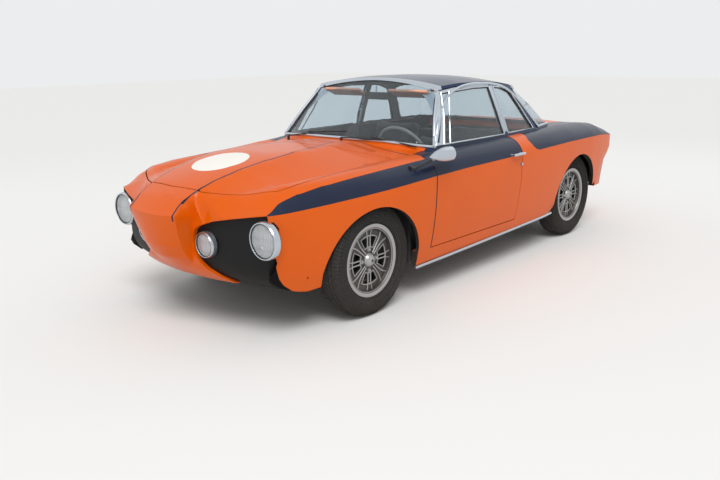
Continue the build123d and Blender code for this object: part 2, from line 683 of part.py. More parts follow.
def wheel(track, y):
    """One left wheel: barrel, dished disc, four fan windows, ribs and a domed hub."""
    with BuildPart() as rim:
        with BuildSketch(axle_plane(track, y)):
            with BuildLine():
                Polyline((-RIM_HALF, BARREL_R), (-RIM_HALF, FLANGE_R), (-56, FLANGE_R), (-56, BEAD_R), (56, BEAD_R),
                         (56, FLANGE_R), (RIM_HALF, FLANGE_R), (RIM_HALF, FLANGE_R - 8), (RIM_HALF - 8, BARREL_R - 6),
                         (DISC_FRONT, BARREL_R - 12), (DISC_FRONT, HUB_R + 12), (DISC_FRONT + 8, HUB_R))
                ThreePointArc((DISC_FRONT + 8, HUB_R), (DISC_FRONT + 24, HUB_R * 0.6), (DISC_FRONT + 30, 6))
                Polyline((DISC_FRONT + 30, 6), (DISC_FRONT + 30, 0), (DISC_BACK + 8, 0), (DISC_BACK + 8, BORE_R),
                         (-6, BORE_R), (-6, HUB_R + 6), (DISC_BACK, HUB_R + 14), (DISC_BACK, BARREL_R),
                         (-RIM_HALF, BARREL_R))
            make_face()
        revolve(axis=Axis((track / 2, y, AXLE_Z), (1, 0, 0)))
        with BuildSketch(face_plane(track, y, DISC_BACK - 1)):
            with PolarLocations(0, 4):
                add(fan_window())
        extrude(amount=DISC_FRONT - DISC_BACK + 2, mode=Mode.SUBTRACT)
        with BuildSketch(face_plane(track, y, DISC_BACK + 2)):
            with PolarLocations(0, 4):
                for shift in (-11, 11):
                    with Locations(((WINDOW_IN_R + WINDOW_OUT_R) / 2, shift)):
                        Rectangle(WINDOW_OUT_R - WINDOW_IN_R + 8, RIB)
        extrude(amount=DISC_FRONT - DISC_BACK)
    return rim.part


def fan_window():
    """An annular window between two radii, opening along local X."""
    with BuildSketch() as window:
        Circle(WINDOW_OUT_R)
        Circle(WINDOW_IN_R, mode=Mode.SUBTRACT)
        reach = 300
        side = reach * sin(radians(WINDOW_HALF_ANGLE))
        ahead = reach * cos(radians(WINDOW_HALF_ANGLE))
        with BuildLine():
            Polyline((0, 0), (ahead, side), (ahead, -side), (0, 0))
        make_face(mode=Mode.INTERSECT)
    return window.sketch


finish_sides("tyre_front", tyre(FRONT_TRACK, FRONT_AXLE_Y))
finish_sides("tyre_rear", tyre(REAR_TRACK, REAR_AXLE_Y))
finish_sides("wheel_front", wheel(FRONT_TRACK, FRONT_AXLE_Y))
finish_sides("wheel_rear", wheel(REAR_TRACK, REAR_AXLE_Y))

# Front knuckles: drum, stub axle, kingpin and steering arm
KINGPIN_X = 555
KINGPIN_HALF = 85
DRUM_R = 118
DRUM_IN = FRONT_TRACK / 2 - 60
DRUM_OUT = FRONT_TRACK / 2 - 10
with BuildPart() as knuckle:
    with BuildSketch(Plane.YZ.offset(DRUM_IN)):
        with Locations((FRONT_AXLE_Y, AXLE_Z)):
            Circle(DRUM_R)
    extrude(amount=DRUM_OUT - DRUM_IN)
    with BuildSketch(Plane.YZ.offset(KINGPIN_X)):
        with Locations((FRONT_AXLE_Y, AXLE_Z)):
            Circle(STUB_R)
    extrude(amount=FRONT_TRACK / 2 + DISC_BACK - KINGPIN_X)
    with BuildSketch(Plane.XY.offset(AXLE_Z - KINGPIN_HALF)):
        with Locations((KINGPIN_X, FRONT_AXLE_Y)):
            Circle(16)
    extrude(amount=2 * KINGPIN_HALF)
    with BuildSketch(Plane.XY.offset(AXLE_Z - 45)):
        with Locations((KINGPIN_X - 8, FRONT_AXLE_Y + 60)):
            Rectangle(22, 130)
    extrude(amount=14)
finish_sides("knuckle", knuckle.part)

# Front axle beam: two cross tubes, trailing arms and the kingpin lugs
BEAM_Y = FRONT_AXLE_Y - 120
BEAM_LEVELS = (AXLE_Z - 98, AXLE_Z + 98)
with BuildPart() as beam:
    for z in BEAM_LEVELS:
        with BuildSketch(Plane.YZ.offset(-400)):
            with Locations((BEAM_Y, z)):
                Circle(24)
        extrude(amount=800)
    for side in (-1, 1):
        for z, lug_z in zip(BEAM_LEVELS, (AXLE_Z - KINGPIN_HALF - 20, AXLE_Z + KINGPIN_HALF + 2)):
            with BuildSketch(Plane.XY.offset(lug_z)):
                with BuildLine():
                    Polyline((side * 396, BEAM_Y - 24), (side * 432, BEAM_Y - 24), (side * 432, FRONT_AXLE_Y - 24),
                             (side * 572, FRONT_AXLE_Y - 24), (side * 572, FRONT_AXLE_Y + 24),
                             (side * 396, FRONT_AXLE_Y + 24), close=True)
                make_face()
            extrude(amount=18)
    with BuildSketch(Plane.YZ.offset(-40)):
        with Locations((BEAM_Y, AXLE_Z)):
            Rectangle(30, 196)
    extrude(amount=80)
finish("front_beam", beam.part)

# Rear axle: gearbox, swing tubes, drums and stub axles
with BuildPart() as rear_axle:
    with BuildSketch(Plane.XZ.offset(-960)):
        with Locations((0, 335)):
            Rectangle(230, 230)
    extrude(amount=-480)
    with BuildSketch(Plane.YZ.offset(-REAR_TRACK / 2 + 60)):
        with Locations((REAR_AXLE_Y, AXLE_Z)):
            Circle(32)
    extrude(amount=REAR_TRACK - 120)
    with BuildSketch(Plane.YZ.offset(-REAR_TRACK / 2 - DISC_BACK)):
        with Locations((REAR_AXLE_Y, AXLE_Z)):
            Circle(STUB_R)
    extrude(amount=REAR_TRACK + 2 * DISC_BACK)
    for start in (-REAR_TRACK / 2 + 10, REAR_TRACK / 2 - 60):
        with BuildSketch(Plane.YZ.offset(start)):
            with Locations((REAR_AXLE_Y, AXLE_Z)):
                Circle(DRUM_R)
        extrude(amount=50)
finish("rear_axle", rear_axle.part)

# Engine and exhaust
finish("engine", upright_block(Block(300, 300, 720, 400, 1640)))
SILENCER_Y = 1790
SILENCER_Z = 245
SILENCER_R = 45
PIPE_XS = (-200, 200)
with BuildPart() as exhaust:
    with BuildSketch(Plane.YZ.offset(-300)):
        with Locations((SILENCER_Y, SILENCER_Z)):
            Circle(SILENCER_R)
    extrude(amount=600)
    with BuildSketch(Plane.XY.offset(SILENCER_Z)):
        with Locations(*((x, SILENCER_Y) for x in PIPE_XS)):
            Circle(18)
    extrude(amount=SILENCER_R + 10)
    with BuildSketch(Plane.XZ.offset(-SILENCER_Y)):
        with Locations(*((x, SILENCER_Z) for x in PIPE_XS)):
            Circle(17)
    extrude(amount=-200)
finish("exhaust", exhaust.part)

# Tail lamps on the rear corners
TAIL_LAMP_TURN = radians(15)
TAIL_LAMP_PLANE = Plane(origin=(560, 1996, 640), x_dir=(cos(TAIL_LAMP_TURN), -sin(TAIL_LAMP_TURN), 0),
                        z_dir=(sin(TAIL_LAMP_TURN), cos(TAIL_LAMP_TURN), 0))
with BuildPart() as tail_lamps:
    with BuildSketch(TAIL_LAMP_PLANE):
        SlotCenterToCenter(80, 76)
    extrude(amount=-70)
    add(outer, mode=Mode.SUBTRACT)
    mirror(about=Plane.YZ)
finish("tail_lamps", tail_lamps.part)

# Seats
SEAT_X = 360
SEAT_HALF = 240
SEAT_SIDE = ((-160, FLOOR_TOP_Z), (-190, 330), (-180, 450), (240, 430), (330, 960), (430, 955), (385, 420),
             (330, FLOOR_TOP_Z))
BENCH_HALF = 470
BENCH_SIDE = ((500, 266), (480, 440), (730, 420), (800, 790), (847, 790), (847, 266))
finish_sides("front_seat", side_prism(SEAT_SIDE, SEAT_X - SEAT_HALF, SEAT_X + SEAT_HALF))
finish("rear_seat", side_prism(BENCH_SIDE, -BENCH_HALF, BENCH_HALF))

# Dashboard, steering column and steering wheel
DASH_HALF = 610
DASH_SIDE = ((-560, 640), (-560, 800), (-470, 800), (-430, 770), (-450, 640))
with BuildPart() as dashboard:
    add(side_prism(DASH_SIDE, -DASH_HALF, DASH_HALF))
    add(both_sides(door_inner), mode=Mode.INTERSECT)
finish("dashboard", dashboard.part)
STEER_TILT = radians(25)
STEER_PLANE = Plane(origin=(300, -335, 790), x_dir=(1, 0, 0), z_dir=(0, cos(STEER_TILT), sin(STEER_TILT)))
STEER_SECTION = Plane(origin=STEER_PLANE.origin, x_dir=(1, 0, 0), z_dir=(0, -sin(STEER_TILT), cos(STEER_TILT)))
RIM_R = 195
GRIP_R = 11
with BuildPart() as column:
    with BuildSketch(STEER_PLANE.offset(-105)):
        Circle(26)
    extrude(amount=75)
    with BuildSketch(STEER_PLANE.offset(-300)):
        Circle(18)
    extrude(amount=220)
    add(dashboard.part, mode=Mode.SUBTRACT)
finish("steering_column", max(column.part.solids(), key=lambda piece: piece.center().Y))
with BuildPart() as steering_wheel:
    with BuildSketch(STEER_SECTION):
        with Locations((RIM_R, 0)):
            Circle(GRIP_R)
    revolve(axis=Axis(STEER_PLANE.origin, STEER_PLANE.z_dir))
    with BuildSketch(STEER_PLANE.offset(-28)):
        Circle(32)
    extrude(amount=34)
    with BuildSketch(STEER_PLANE.offset(-8)):
        Rectangle(2 * RIM_R - 6, 22)
    extrude(amount=8)
finish("steering_wheel", steering_wheel.part)

# Bullet mirror on the left wing
MIRROR_X = 840
MIRROR_NOSE_Y = -785
MIRROR_Z = 865
MIRROR_R = 43
MIRROR_LENGTH = 200
MIRROR_BASE = (742, -823, 790)
MIRROR_STALK_R = 7
MIRROR_FOOT_R = 20
with BuildPart() as mirror_piece:
    with BuildSketch(Plane.XY.offset(MIRROR_Z)):
        with BuildLine():
            tip = (MIRROR_X, MIRROR_NOSE_Y)
            widest = (MIRROR_X + MIRROR_R, MIRROR_NOSE_Y + MIRROR_LENGTH * 0.8)
            ThreePointArc(tip, (MIRROR_X + MIRROR_R * 0.68, MIRROR_NOSE_Y + MIRROR_LENGTH * 0.38), widest)
            Polyline(widest, (MIRROR_X + MIRROR_R, MIRROR_NOSE_Y + MIRROR_LENGTH),
                     (MIRROR_X, MIRROR_NOSE_Y + MIRROR_LENGTH), tip)
        make_face()
    revolve(axis=Axis(tip + (MIRROR_Z,), (0, 1, 0)))
    with BuildSketch(Plane(origin=MIRROR_BASE, z_dir=(MIRROR_X - MIRROR_BASE[0], 90, 60))):
        Circle(MIRROR_STALK_R)
    extrude(amount=140)
    with BuildSketch(Plane(origin=MIRROR_BASE, z_dir=(0.35, 0, 0.94)).offset(-10)):
        Circle(MIRROR_FOOT_R)
    extrude(amount=32)
    add(outer, mode=Mode.SUBTRACT)
finish("wing_mirror", mirror_piece.part)


def bar_between(start, end, radius):
    """A round bar from one point to another."""
    run = Vector(end) - Vector(start)
    with BuildPart() as bar:
        with BuildSketch(Plane(origin=start, z_dir=run)):
            Circle(radius)
        extrude(amount=run.length)
    return bar.part


# Door handles: a bar on two feet, with a lock below
HANDLE_Y = (150, 286)
HANDLE_Z = 766
HANDLE_X = 834
HANDLE_R = 9
HANDLE_FOOT_X = 790
LOCK_Z = 694
with BuildPart() as handles:
    add(bar_between((HANDLE_X, HANDLE_Y[0], HANDLE_Z), (HANDLE_X, HANDLE_Y[1] + 10, HANDLE_Z), HANDLE_R))
    for y in (HANDLE_Y[0] + 12, HANDLE_Y[1] - 12):
        add(bar_between((HANDLE_X, y, HANDLE_Z), (HANDLE_FOOT_X, y, HANDLE_Z), HANDLE_R - 1))
    add(bar_between((HANDLE_X - 8, HANDLE_Y[1], LOCK_Z), (HANDLE_FOOT_X, HANDLE_Y[1], LOCK_Z), HANDLE_R))
    add(outer, mode=Mode.SUBTRACT)
finish_sides("door_handle", handles.part)

# Wipers: pivot, arm and blade, just clear of the windscreen
Wiper = namedtuple("Wiper", "pivot elbow start end")
WIPERS = (
    Wiper((50, -662, 880), (405, -590, 912), (250, -597, 922), (575, -556, 880)),
    Wiper((-511, -600, 850), (-150, -602, 938), (-325, -590, 921), (35, -597, 946)),
)
with BuildPart() as wipers:
    for wiper in WIPERS:
        head = tuple(Vector(wiper.pivot) + Vector(0, 0, 34))
        add(bar_between(wiper.pivot, head, 9))
        add(bar_between(head, wiper.elbow, 4))
        add(bar_between(wiper.start, wiper.end, 5))
    add(both_sides(outer), mode=Mode.SUBTRACT)
    add(both_sides(house), mode=Mode.SUBTRACT)
finish("wipers", wipers.part)

os.makedirs("parts", exist_ok=True)
for name, shape in pieces.items():
    export_step(shape, f"parts/{name}.step")
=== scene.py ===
import json
from math import cos, pi, radians, sin

import bpy
from mathutils import Matrix, Vector

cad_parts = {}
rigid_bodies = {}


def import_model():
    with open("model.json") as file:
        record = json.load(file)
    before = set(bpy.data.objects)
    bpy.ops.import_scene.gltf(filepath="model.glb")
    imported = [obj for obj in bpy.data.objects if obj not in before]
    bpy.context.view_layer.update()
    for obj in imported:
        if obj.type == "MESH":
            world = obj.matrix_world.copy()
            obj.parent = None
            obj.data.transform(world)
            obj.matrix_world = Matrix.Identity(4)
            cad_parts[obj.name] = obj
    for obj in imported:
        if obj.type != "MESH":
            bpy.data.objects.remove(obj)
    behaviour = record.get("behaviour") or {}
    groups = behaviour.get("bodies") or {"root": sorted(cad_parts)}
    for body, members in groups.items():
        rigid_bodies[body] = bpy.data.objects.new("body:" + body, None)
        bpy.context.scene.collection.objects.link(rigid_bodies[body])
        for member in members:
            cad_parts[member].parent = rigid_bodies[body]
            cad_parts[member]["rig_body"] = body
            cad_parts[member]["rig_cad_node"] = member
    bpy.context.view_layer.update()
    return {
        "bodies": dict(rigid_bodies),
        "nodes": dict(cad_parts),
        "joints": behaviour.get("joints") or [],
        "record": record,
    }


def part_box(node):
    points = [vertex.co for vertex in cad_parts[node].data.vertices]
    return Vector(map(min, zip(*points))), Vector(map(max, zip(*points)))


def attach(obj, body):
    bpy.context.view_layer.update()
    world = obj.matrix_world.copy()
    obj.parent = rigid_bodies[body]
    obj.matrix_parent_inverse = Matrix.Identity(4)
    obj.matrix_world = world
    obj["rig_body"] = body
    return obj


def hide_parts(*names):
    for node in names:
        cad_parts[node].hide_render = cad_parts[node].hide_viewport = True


bl_info = {
    "name": "Sports Coupe Dress",
    "version": (1, 0, 0),
    "blender": (4, 5, 0),
    "location": "View3D > Sidebar > Coupe",
    "description": "Paint, glass, trim, wheels, cabin and studio for the two-door coupe",
    "category": "Object",
}

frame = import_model()
NODES = frame["nodes"]
BODY_NODES = ("bonnet", "boot_lid", "nose_panel", "tail_panel", "scuttle", "front_wing_left",
              "front_wing_right",
              "rear_quarter_left", "rear_quarter_right", "door_left", "door_right")
WHEELS = (("front_wheel_left", "front_left", 1), ("front_wheel_right", "front_right", -1),
          ("rear_wheel_left", "rear_left", 1), ("rear_wheel_right", "rear_right", -1))
SIDES = (("left", 1), ("right", -1))


def tint(red, green, blue):
    """A colour given as 0 to 255 on a screen, as Blender's linear values."""
    linear = [((c / 255 + 0.055) / 1.055) ** 2.4 if c > 10 else c / 255 / 12.92 for c in (red, green, blue)]
    return (*linear, 1.0)


def add_node(tree, kind, inputs=None, **settings):
    """A shader node with its settings, and its inputs linked or set."""
    made = tree.nodes.new(kind)
    for key, value in settings.items():
        setattr(made, key, value)
    for socket, value in (inputs or {}).items():
        if isinstance(value, bpy.types.NodeSocket):
            tree.links.new(value, made.inputs[socket])
        else:
            made.inputs[socket].default_value = value
    return made


def calc(tree, operation, *values):
    """The result of one arithmetic step on sockets or numbers."""
    return add_node(tree, "ShaderNodeMath", dict(enumerate(values)), operation=operation).outputs[0]


def mixed(tree, share, first, second):
    """A colour between two, by the share of the second."""
    return add_node(tree, "ShaderNodeMix", {0: share, 6: first, 7: second}, data_type="RGBA").outputs[2]


def every(tree, *masks):
    """1 where all of the masks are 1."""
    made = masks[0]
    for mask in masks[1:]:
        made = calc(tree, "MULTIPLY", made, mask)
    return made


def over(tree, value, limit):
    """1 where a value is over a limit."""
    return calc(tree, "GREATER_THAN", value, limit)


def under(tree, value, limit):
    """1 where a value is under a limit."""
    return calc(tree, "LESS_THAN", value, limit)


def apart(tree, first, second):
    """How far two values lie apart."""
    return calc(tree, "ABSOLUTE", calc(tree, "SUBTRACT", first, second))


def length_of(tree, first, second):
    """The length of a flat line from its two shares."""
    squares = [calc(tree, "POWER", value, 2.0) for value in (first, second)]
    return calc(tree, "POWER", calc(tree, "ADD", *squares), 0.5)


def along(tree, value, rows):
    """A measured line: the number that belongs to each place between the first row and the last."""
    low, high = rows[0][0], rows[-1][0]
    share = add_node(tree, "ShaderNodeMapRange", {0: value, 1: low, 2: high, 3: 0.0, 4: 1.0}).outputs[0]
    node = add_node(tree, "ShaderNodeFloatCurve", {"Value": share})
    points = node.mapping.curves[0].points
    rows = [((place - low) / (high - low), number) for place, number in rows]
    points[0].location = rows[0]
    points[1].location = rows[-1]
    for row in rows[1:-1]:
        points.new(*row)
    for point in points:
        point.handle_type = "VECTOR"
    node.mapping.update()
    return node.outputs[0]


def object_axes(tree):
    """The X, Y and Z of a place on the piece."""
    place = add_node(tree, "ShaderNodeTexCoord").outputs["Object"]
    return add_node(tree, "ShaderNodeSeparateXYZ", {0: place}).outputs


def new_group(name, numbers, results):
    """An empty node group with number inputs, given with their defaults, and number outputs."""
    group = bpy.data.node_groups.new(name, "ShaderNodeTree")
    for label, default in numbers:
        socket = group.interface.new_socket(label, in_out="INPUT", socket_type="NodeSocketFloat")
        socket.default_value = default
    for label in results:
        group.interface.new_socket(label, in_out="OUTPUT", socket_type="NodeSocketFloat")
    return group, group.nodes.new("NodeGroupInput"), group.nodes.new("NodeGroupOutput")


def grain_group():
    """Grain: an uneven roughness from broad clouds, and a fine height."""
    group, inputs, outputs = new_group(
        "Surface Grain", (("Scale", 60.0), ("Roughness", 0.4), ("Spread", 0.1)), ("Roughness", "Height"))
    place = add_node(group, "ShaderNodeTexCoord").outputs["Object"]
    fine = add_node(group, "ShaderNodeTexNoise", {"Vector": place, "Scale": inputs.outputs["Scale"],
                                                  "Detail": 3.0})
    broad = add_node(group, "ShaderNodeTexNoise", {"Vector": place, "Scale": 3.5, "Detail": 4.0})
    offset = calc(group, "SUBTRACT", broad.outputs[0], 0.5)
    rough = calc(group, "MULTIPLY_ADD", offset, inputs.outputs["Spread"], inputs.outputs["Roughness"])
    group.links.new(rough, outputs.inputs["Roughness"])
    group.links.new(fine.outputs[0], outputs.inputs["Height"])
    return group


def dust_group():
    """Dust: a mask that grows towards the ground, broken up by noise."""
    group, inputs, outputs = new_group("Road Dust", (("Top", 0.5), ("Amount", 0.3)), ("Mask",))
    place = add_node(group, "ShaderNodeTexCoord").outputs["Object"]
    height = add_node(group, "ShaderNodeSeparateXYZ", {0: place}).outputs[2]
    share = add_node(group, "ShaderNodeMapRange", {0: height, 1: inputs.outputs["Top"], 2: 0.05, 3: 0.0,
                                                   4: 1.0})
    spots = add_node(group, "ShaderNodeTexNoise", {"Vector": place, "Scale": 9.0, "Detail": 6.0,
                                                   "Roughness": 0.65})
    broken = calc(group, "MULTIPLY", share.outputs[0], spots.outputs[0])
    group.links.new(calc(group, "MULTIPLY", broken, inputs.outputs["Amount"]), outputs.inputs["Mask"])
    return group


def use_group(tree, group, **values):
    """One of the shared effects, placed in a material with its own values."""
    node = add_node(tree, "ShaderNodeGroup", node_tree=group)
    for label, value in values.items():
        node.inputs[label].default_value = value
    return node.outputs


GRAIN = grain_group()
DUST = dust_group()
DUST_COLOUR = tint(118, 104, 84)
# Matt black of the lamp pockets, also used as the painted shade over the door's front shut line.
POCKET_BLACK_AND_SEAM_SHADE = tint(9, 9, 10)
BRIGHT = {"Base_Color": tint(192, 200, 208), "Metallic": 0.85, "Roughness": 0.16}
BRIGHT_FRAME = dict(BRIGHT, Roughness=0.3)


def finish_of(name, colour, roughness=0.4, spread=0.1, scale=60.0, bump=0.0, dust=0.0, top=0.5, **sockets):
    """A material with grain, bump and dust; the colour is a value or a function that draws it with nodes."""
    made = bpy.data.materials.new(name)
    made.use_nodes = True
    tree = made.node_tree
    shader = tree.nodes["Principled BSDF"]
    grain = use_group(tree, GRAIN, Scale=scale, Roughness=roughness, Spread=spread)
    tree.links.new(grain["Roughness"], shader.inputs["Roughness"])
    if callable(colour):
        colour = colour(tree)
    if dust:
        mask = use_group(tree, DUST, Top=top, Amount=dust)["Mask"]
        colour = mixed(tree, mask, colour, DUST_COLOUR)
    if isinstance(colour, bpy.types.NodeSocket):
        tree.links.new(colour, shader.inputs["Base Color"])
    else:
        shader.inputs["Base Color"].default_value = colour
    if bump:
        height = add_node(tree, "ShaderNodeBump", {"Strength": bump, "Distance": 0.002,
                                                   "Height": grain["Height"]})
        tree.links.new(height.outputs[0], shader.inputs["Normal"])
    for socket, value in sockets.items():
        shader.inputs[socket.replace("_", " ")].default_value = value
    return made


def masked(made, mask_of, **values):
    """Give a finish other values where a drawn mask is 1, such as bright metal or matt paint."""
    tree = made.node_tree
    shader = tree.nodes["Principled BSDF"]
    mask = mask_of(tree)
    for label, there in values.items():
        socket = shader.inputs[label.replace("_", " ")]
        here = socket.links[0].from_socket if socket.is_linked else socket.default_value
        if socket.type == "RGBA":
            here = here if socket.is_linked else tuple(here)
            tree.links.new(mixed(tree, mask, here, there), socket)
        else:
            step = calc(tree, "MULTIPLY", mask, calc(tree, "SUBTRACT", there, here))
            tree.links.new(calc(tree, "ADD", here, step), socket)
    return made


CHROME = finish_of("Chrome", BRIGHT["Base_Color"], BRIGHT["Roughness"], 0.08, 300, 0.02, 0.1, 0.5,
                   Metallic=BRIGHT["Metallic"])
UNDERSEAL = finish_of("Underseal", tint(24, 24, 25), 0.8, 0.15, 240, 0.6, 0.5, 0.6)


def wear(obj, finish):
    """Give a piece one finish all over."""
    obj.data.materials.clear()
    obj.data.materials.append(finish)
    return obj


def mode(name):
    """Switch the active piece to edit mode or to object mode."""
    bpy.ops.object.mode_set(mode=name)


def deselect_all():
    """Leave edit mode and select nothing."""
    if bpy.context.object and bpy.context.object.mode != "OBJECT":
        mode("OBJECT")
    bpy.ops.object.select_all(action="DESELECT")


def take(obj):
    """Make one piece the selected and active one."""
    deselect_all()
    obj.select_set(True)
    bpy.context.view_layer.objects.active = obj
    return obj


def edit_all(obj):
    """Enter edit mode on one piece, with all of its points selected."""
    take(obj)
    mode("EDIT")
    bpy.ops.mesh.select_mode(type="VERT")
    bpy.ops.mesh.select_all(action="SELECT")


def started(name):
    """Name the primitive that was just added and put its place into its mesh."""
    obj = bpy.context.object
    obj.name = name
    obj.data.name = name
    take(obj)
    bpy.ops.object.transform_apply(location=True, rotation=True, scale=True)
    return obj


def dress(obj, finish, body, angle=35):
    """Give a finished piece its finish, its smoothing and the body it rides on."""
    take(obj)
    bpy.ops.object.shade_smooth_by_angle(angle=radians(angle))
    wear(obj, finish)
    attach(obj, body)
    return obj


def chromed(obj, body="body"):
    """Give a finished piece the bright trim's finish."""
    return dress(obj, CHROME, body)


def apply_modifier(obj, kind, **settings):
    """Add one modifier with its settings and apply it."""
    take(obj)
    made = obj.modifiers.new(kind, kind)
    for key, value in settings.items():
        setattr(made, key, value)
    bpy.ops.object.modifier_apply(modifier=made.name)
    return obj


def wire(name, points, closed=False):
    """A chain of edges through measured points, drawn by extruding one vertex."""
    deselect_all()
    bpy.ops.mesh.primitive_plane_add(size=0.01, location=points[0])
    obj = started(name)
    edit_all(obj)
    bpy.ops.mesh.merge(type="CENTER")
    for here, there in zip(points, points[1:]):
        step = Vector(there) - Vector(here)
        bpy.ops.mesh.extrude_region_move(TRANSFORM_OT_translate={"value": step})
    if closed:
        bpy.ops.mesh.select_all(action="SELECT")
        bpy.ops.mesh.remove_doubles(threshold=0.0001)
    mode("OBJECT")
    return obj


def rod(obj, radius, resolution=3):
    """Turn a chain of edges into a round bar of one radius."""
    take(obj)
    bpy.ops.object.convert(target="CURVE")
    obj = bpy.context.object
    obj.data.bevel_depth = radius
    obj.data.bevel_resolution = resolution
    obj.data.use_fill_caps = True
    bpy.ops.object.convert(target="MESH")
    obj = bpy.context.object
    edit_all(obj)
    bpy.ops.mesh.remove_doubles(threshold=0.00002)
    bpy.ops.mesh.normals_make_consistent(inside=False)
    mode("OBJECT")
    return obj


def rounded_path(points, rounds=2):
    """The points of a smooth line through the same run, with its corners cut twice."""
    path = [Vector(p) for p in points]
    for _ in range(rounds):
        cut = [path[0]]
        for here, there in zip(path, path[1:]):
            cut += [here.lerp(there, 0.25), here.lerp(there, 0.75)]
        path = cut + [path[-1]]
    return path


def evened(obj, rounds):
    """Even out a chain of edges between its two ends."""
    points = obj.data.vertices
    for _ in range(rounds):
        places = [point.co.copy() for point in points]
        for number in range(1, len(places) - 1):
            points[number].co = places[number] / 2 + (places[number - 1] + places[number + 1]) / 4
    return obj


def turned(name, profile, centre, axis, steps=48, wrap=False):
    """A turned piece: a profile of (outward, radius) pairs spun round an axis through the centre."""
    axis = Vector(axis).normalized()
    side = Vector((0, 0, 1)) if abs(axis.z) < 0.9 else Vector((1, 0, 0))
    points = [Vector(centre) + axis * outward + side * radius for outward, radius in profile]
    obj = wire(name, points, closed=wrap)
    edit_all(obj)
    bpy.ops.mesh.spin(steps=steps, angle=2 * pi, center=centre, axis=axis)
    bpy.ops.mesh.select_all(action="SELECT")
    bpy.ops.mesh.remove_doubles(threshold=0.00005)
    bpy.ops.mesh.normals_make_consistent(inside=False)
    mode("OBJECT")
    return obj


def block(name, low, high, bevel=0.004, segments=2):
    """A rounded block between two corners."""
    low, high = Vector(low), Vector(high)
    deselect_all()
    bpy.ops.mesh.primitive_cube_add(size=1, location=(low + high) / 2, scale=high - low)
    obj = started(name)
    edit_all(obj)
    bpy.ops.mesh.bevel(offset=bevel, segments=segments)
    mode("OBJECT")
    return obj


def side_block(name, sign, low, high, bevel, segments):
    """A rounded block on one side of the car, from its corners on the left."""
    low_x, high_x = sorted((sign * low[0], sign * high[0]))
    return block(name, (low_x, *low[1:]), (high_x, *high[1:]), bevel, segments)


def turn_piece(obj, angle, axis, centre):
    """Turn a piece's mesh about an axis through a point."""
    centre = Matrix.Translation(Vector(centre))
    obj.data.transform(centre @ Matrix.Rotation(radians(angle), 4, axis) @ centre.inverted())
    return obj


def copied(obj, name, move=(0, 0, 0), mirror=False):
    """A copy with its own mesh, moved, or mirrored across the car's middle."""
    take(obj)
    bpy.ops.object.duplicate(linked=False)
    made = bpy.context.object
    made.name = name
    made.data.name = name
    made.parent = None
    made.data.transform(Matrix.Translation(Vector(move)))
    if mirror:
        made.data.transform(Matrix.Scale(-1, 4, (1, 0, 0)))
        edit_all(made)
        bpy.ops.mesh.normals_make_consistent(inside=False)
        mode("OBJECT")
    return made


def joined(objects, name):
    """Several pieces as one."""
    take(objects[0])
    for obj in objects:
        obj.select_set(True)
    bpy.ops.object.join()
    made = bpy.context.object
    made.name = name
    return made


def node_copy(node, name):
    """A merged copy of a CAD node's mesh, riding on nothing yet."""
    take(NODES[node])
    bpy.ops.object.duplicate(linked=False)
    made = bpy.context.object
    made.parent = None
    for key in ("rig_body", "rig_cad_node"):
        if key in made:
            del made[key]
    made.name = name
    made.data.name = name
    made.data.materials.clear()
    edit_all(made)
    bpy.ops.mesh.remove_doubles(threshold=0.0002)
    mode("OBJECT")
    return made


def smooth_skin(node, finish, body, lining=None, angle=38):
    """A CAD panel's merged copy, shaded smooth and lined inside, which takes the panel's place."""
    made = take(node_copy(node, node + "_skin"))
    bpy.ops.mesh.customdata_custom_splitnormals_clear()
    dress(made, finish, body, angle)
    apply_modifier(made, "WEIGHTED_NORMAL", keep_sharp=True)
    if lining:
        made.data.materials.append(lining)
        for face in made.data.polygons:
            if faces_inwards(face):
                face.material_index = 1
    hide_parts(node)
    return made


ARCH_MIDDLES = ((-1.14, 0.32), (1.26, 0.32))
ARCH_RADIUS = 0.42
CABIN_HALF = 1.4
BODY_MIDDLE_Z = 0.45


def faces_inwards(face):
    """Whether a panel's face looks towards the car's middle, or into a wheel arch."""
    place = face.center
    past = place.y - max(-CABIN_HALF, min(CABIN_HALF, place.y))
    if face.normal.dot(Vector((place.x, past, place.z - BODY_MIDDLE_Z)).normalized()) < -0.35:
        return True
    for y, z in ARCH_MIDDLES:
        spoke = Vector((0, y - place.y, z - place.z))
        if spoke.length < ARCH_RADIUS and face.normal.dot(spoke.normalized()) > 0.7:
            return True
    return False


def swollen(obj, middle, factor):
    """Grow or shrink a piece about a point."""
    middle = Vector(middle)
    for vertex in obj.data.vertices:
        vertex.co = middle + (vertex.co - middle) * factor
    return obj


def edge_outline(node, name, middle):
    """The outer outline of a pane: its sharp edges on the side that faces away from a point inside."""
    obj = node_copy(node, name)
    mesh = obj.data
    faces_of = {}
    for face in mesh.polygons:
        for key in face.edge_keys:
            faces_of.setdefault(key, []).append(face)
    wanted = set()
    for edge in mesh.edges:
        faces = faces_of.get(edge.key, [])
        if len(faces) != 2:
            continue
        place = (mesh.vertices[edge.vertices[0]].co + mesh.vertices[edge.vertices[1]].co) / 2
        out = (place - Vector(middle)).normalized()
        facing = sorted(face.normal.dot(out) for face in faces)
        sharp = faces[0].normal.dot(faces[1].normal) < 0.6
        if sharp and facing[1] > 0.35 and facing[0] > -0.6:
            wanted.add(edge.index)
    take(obj)
    mode("EDIT")
    bpy.ops.mesh.select_mode(type="EDGE")
    bpy.ops.mesh.select_all(action="DESELECT")
    mode("OBJECT")
    for edge in mesh.edges:
        edge.select = edge.index not in wanted
    mode("EDIT")
    bpy.ops.mesh.delete(type="EDGE")
    bpy.ops.mesh.select_mode(type="VERT")
    bpy.ops.mesh.select_all(action="SELECT")
    bpy.ops.mesh.remove_doubles(threshold=0.003)
    mode("OBJECT")
    return obj


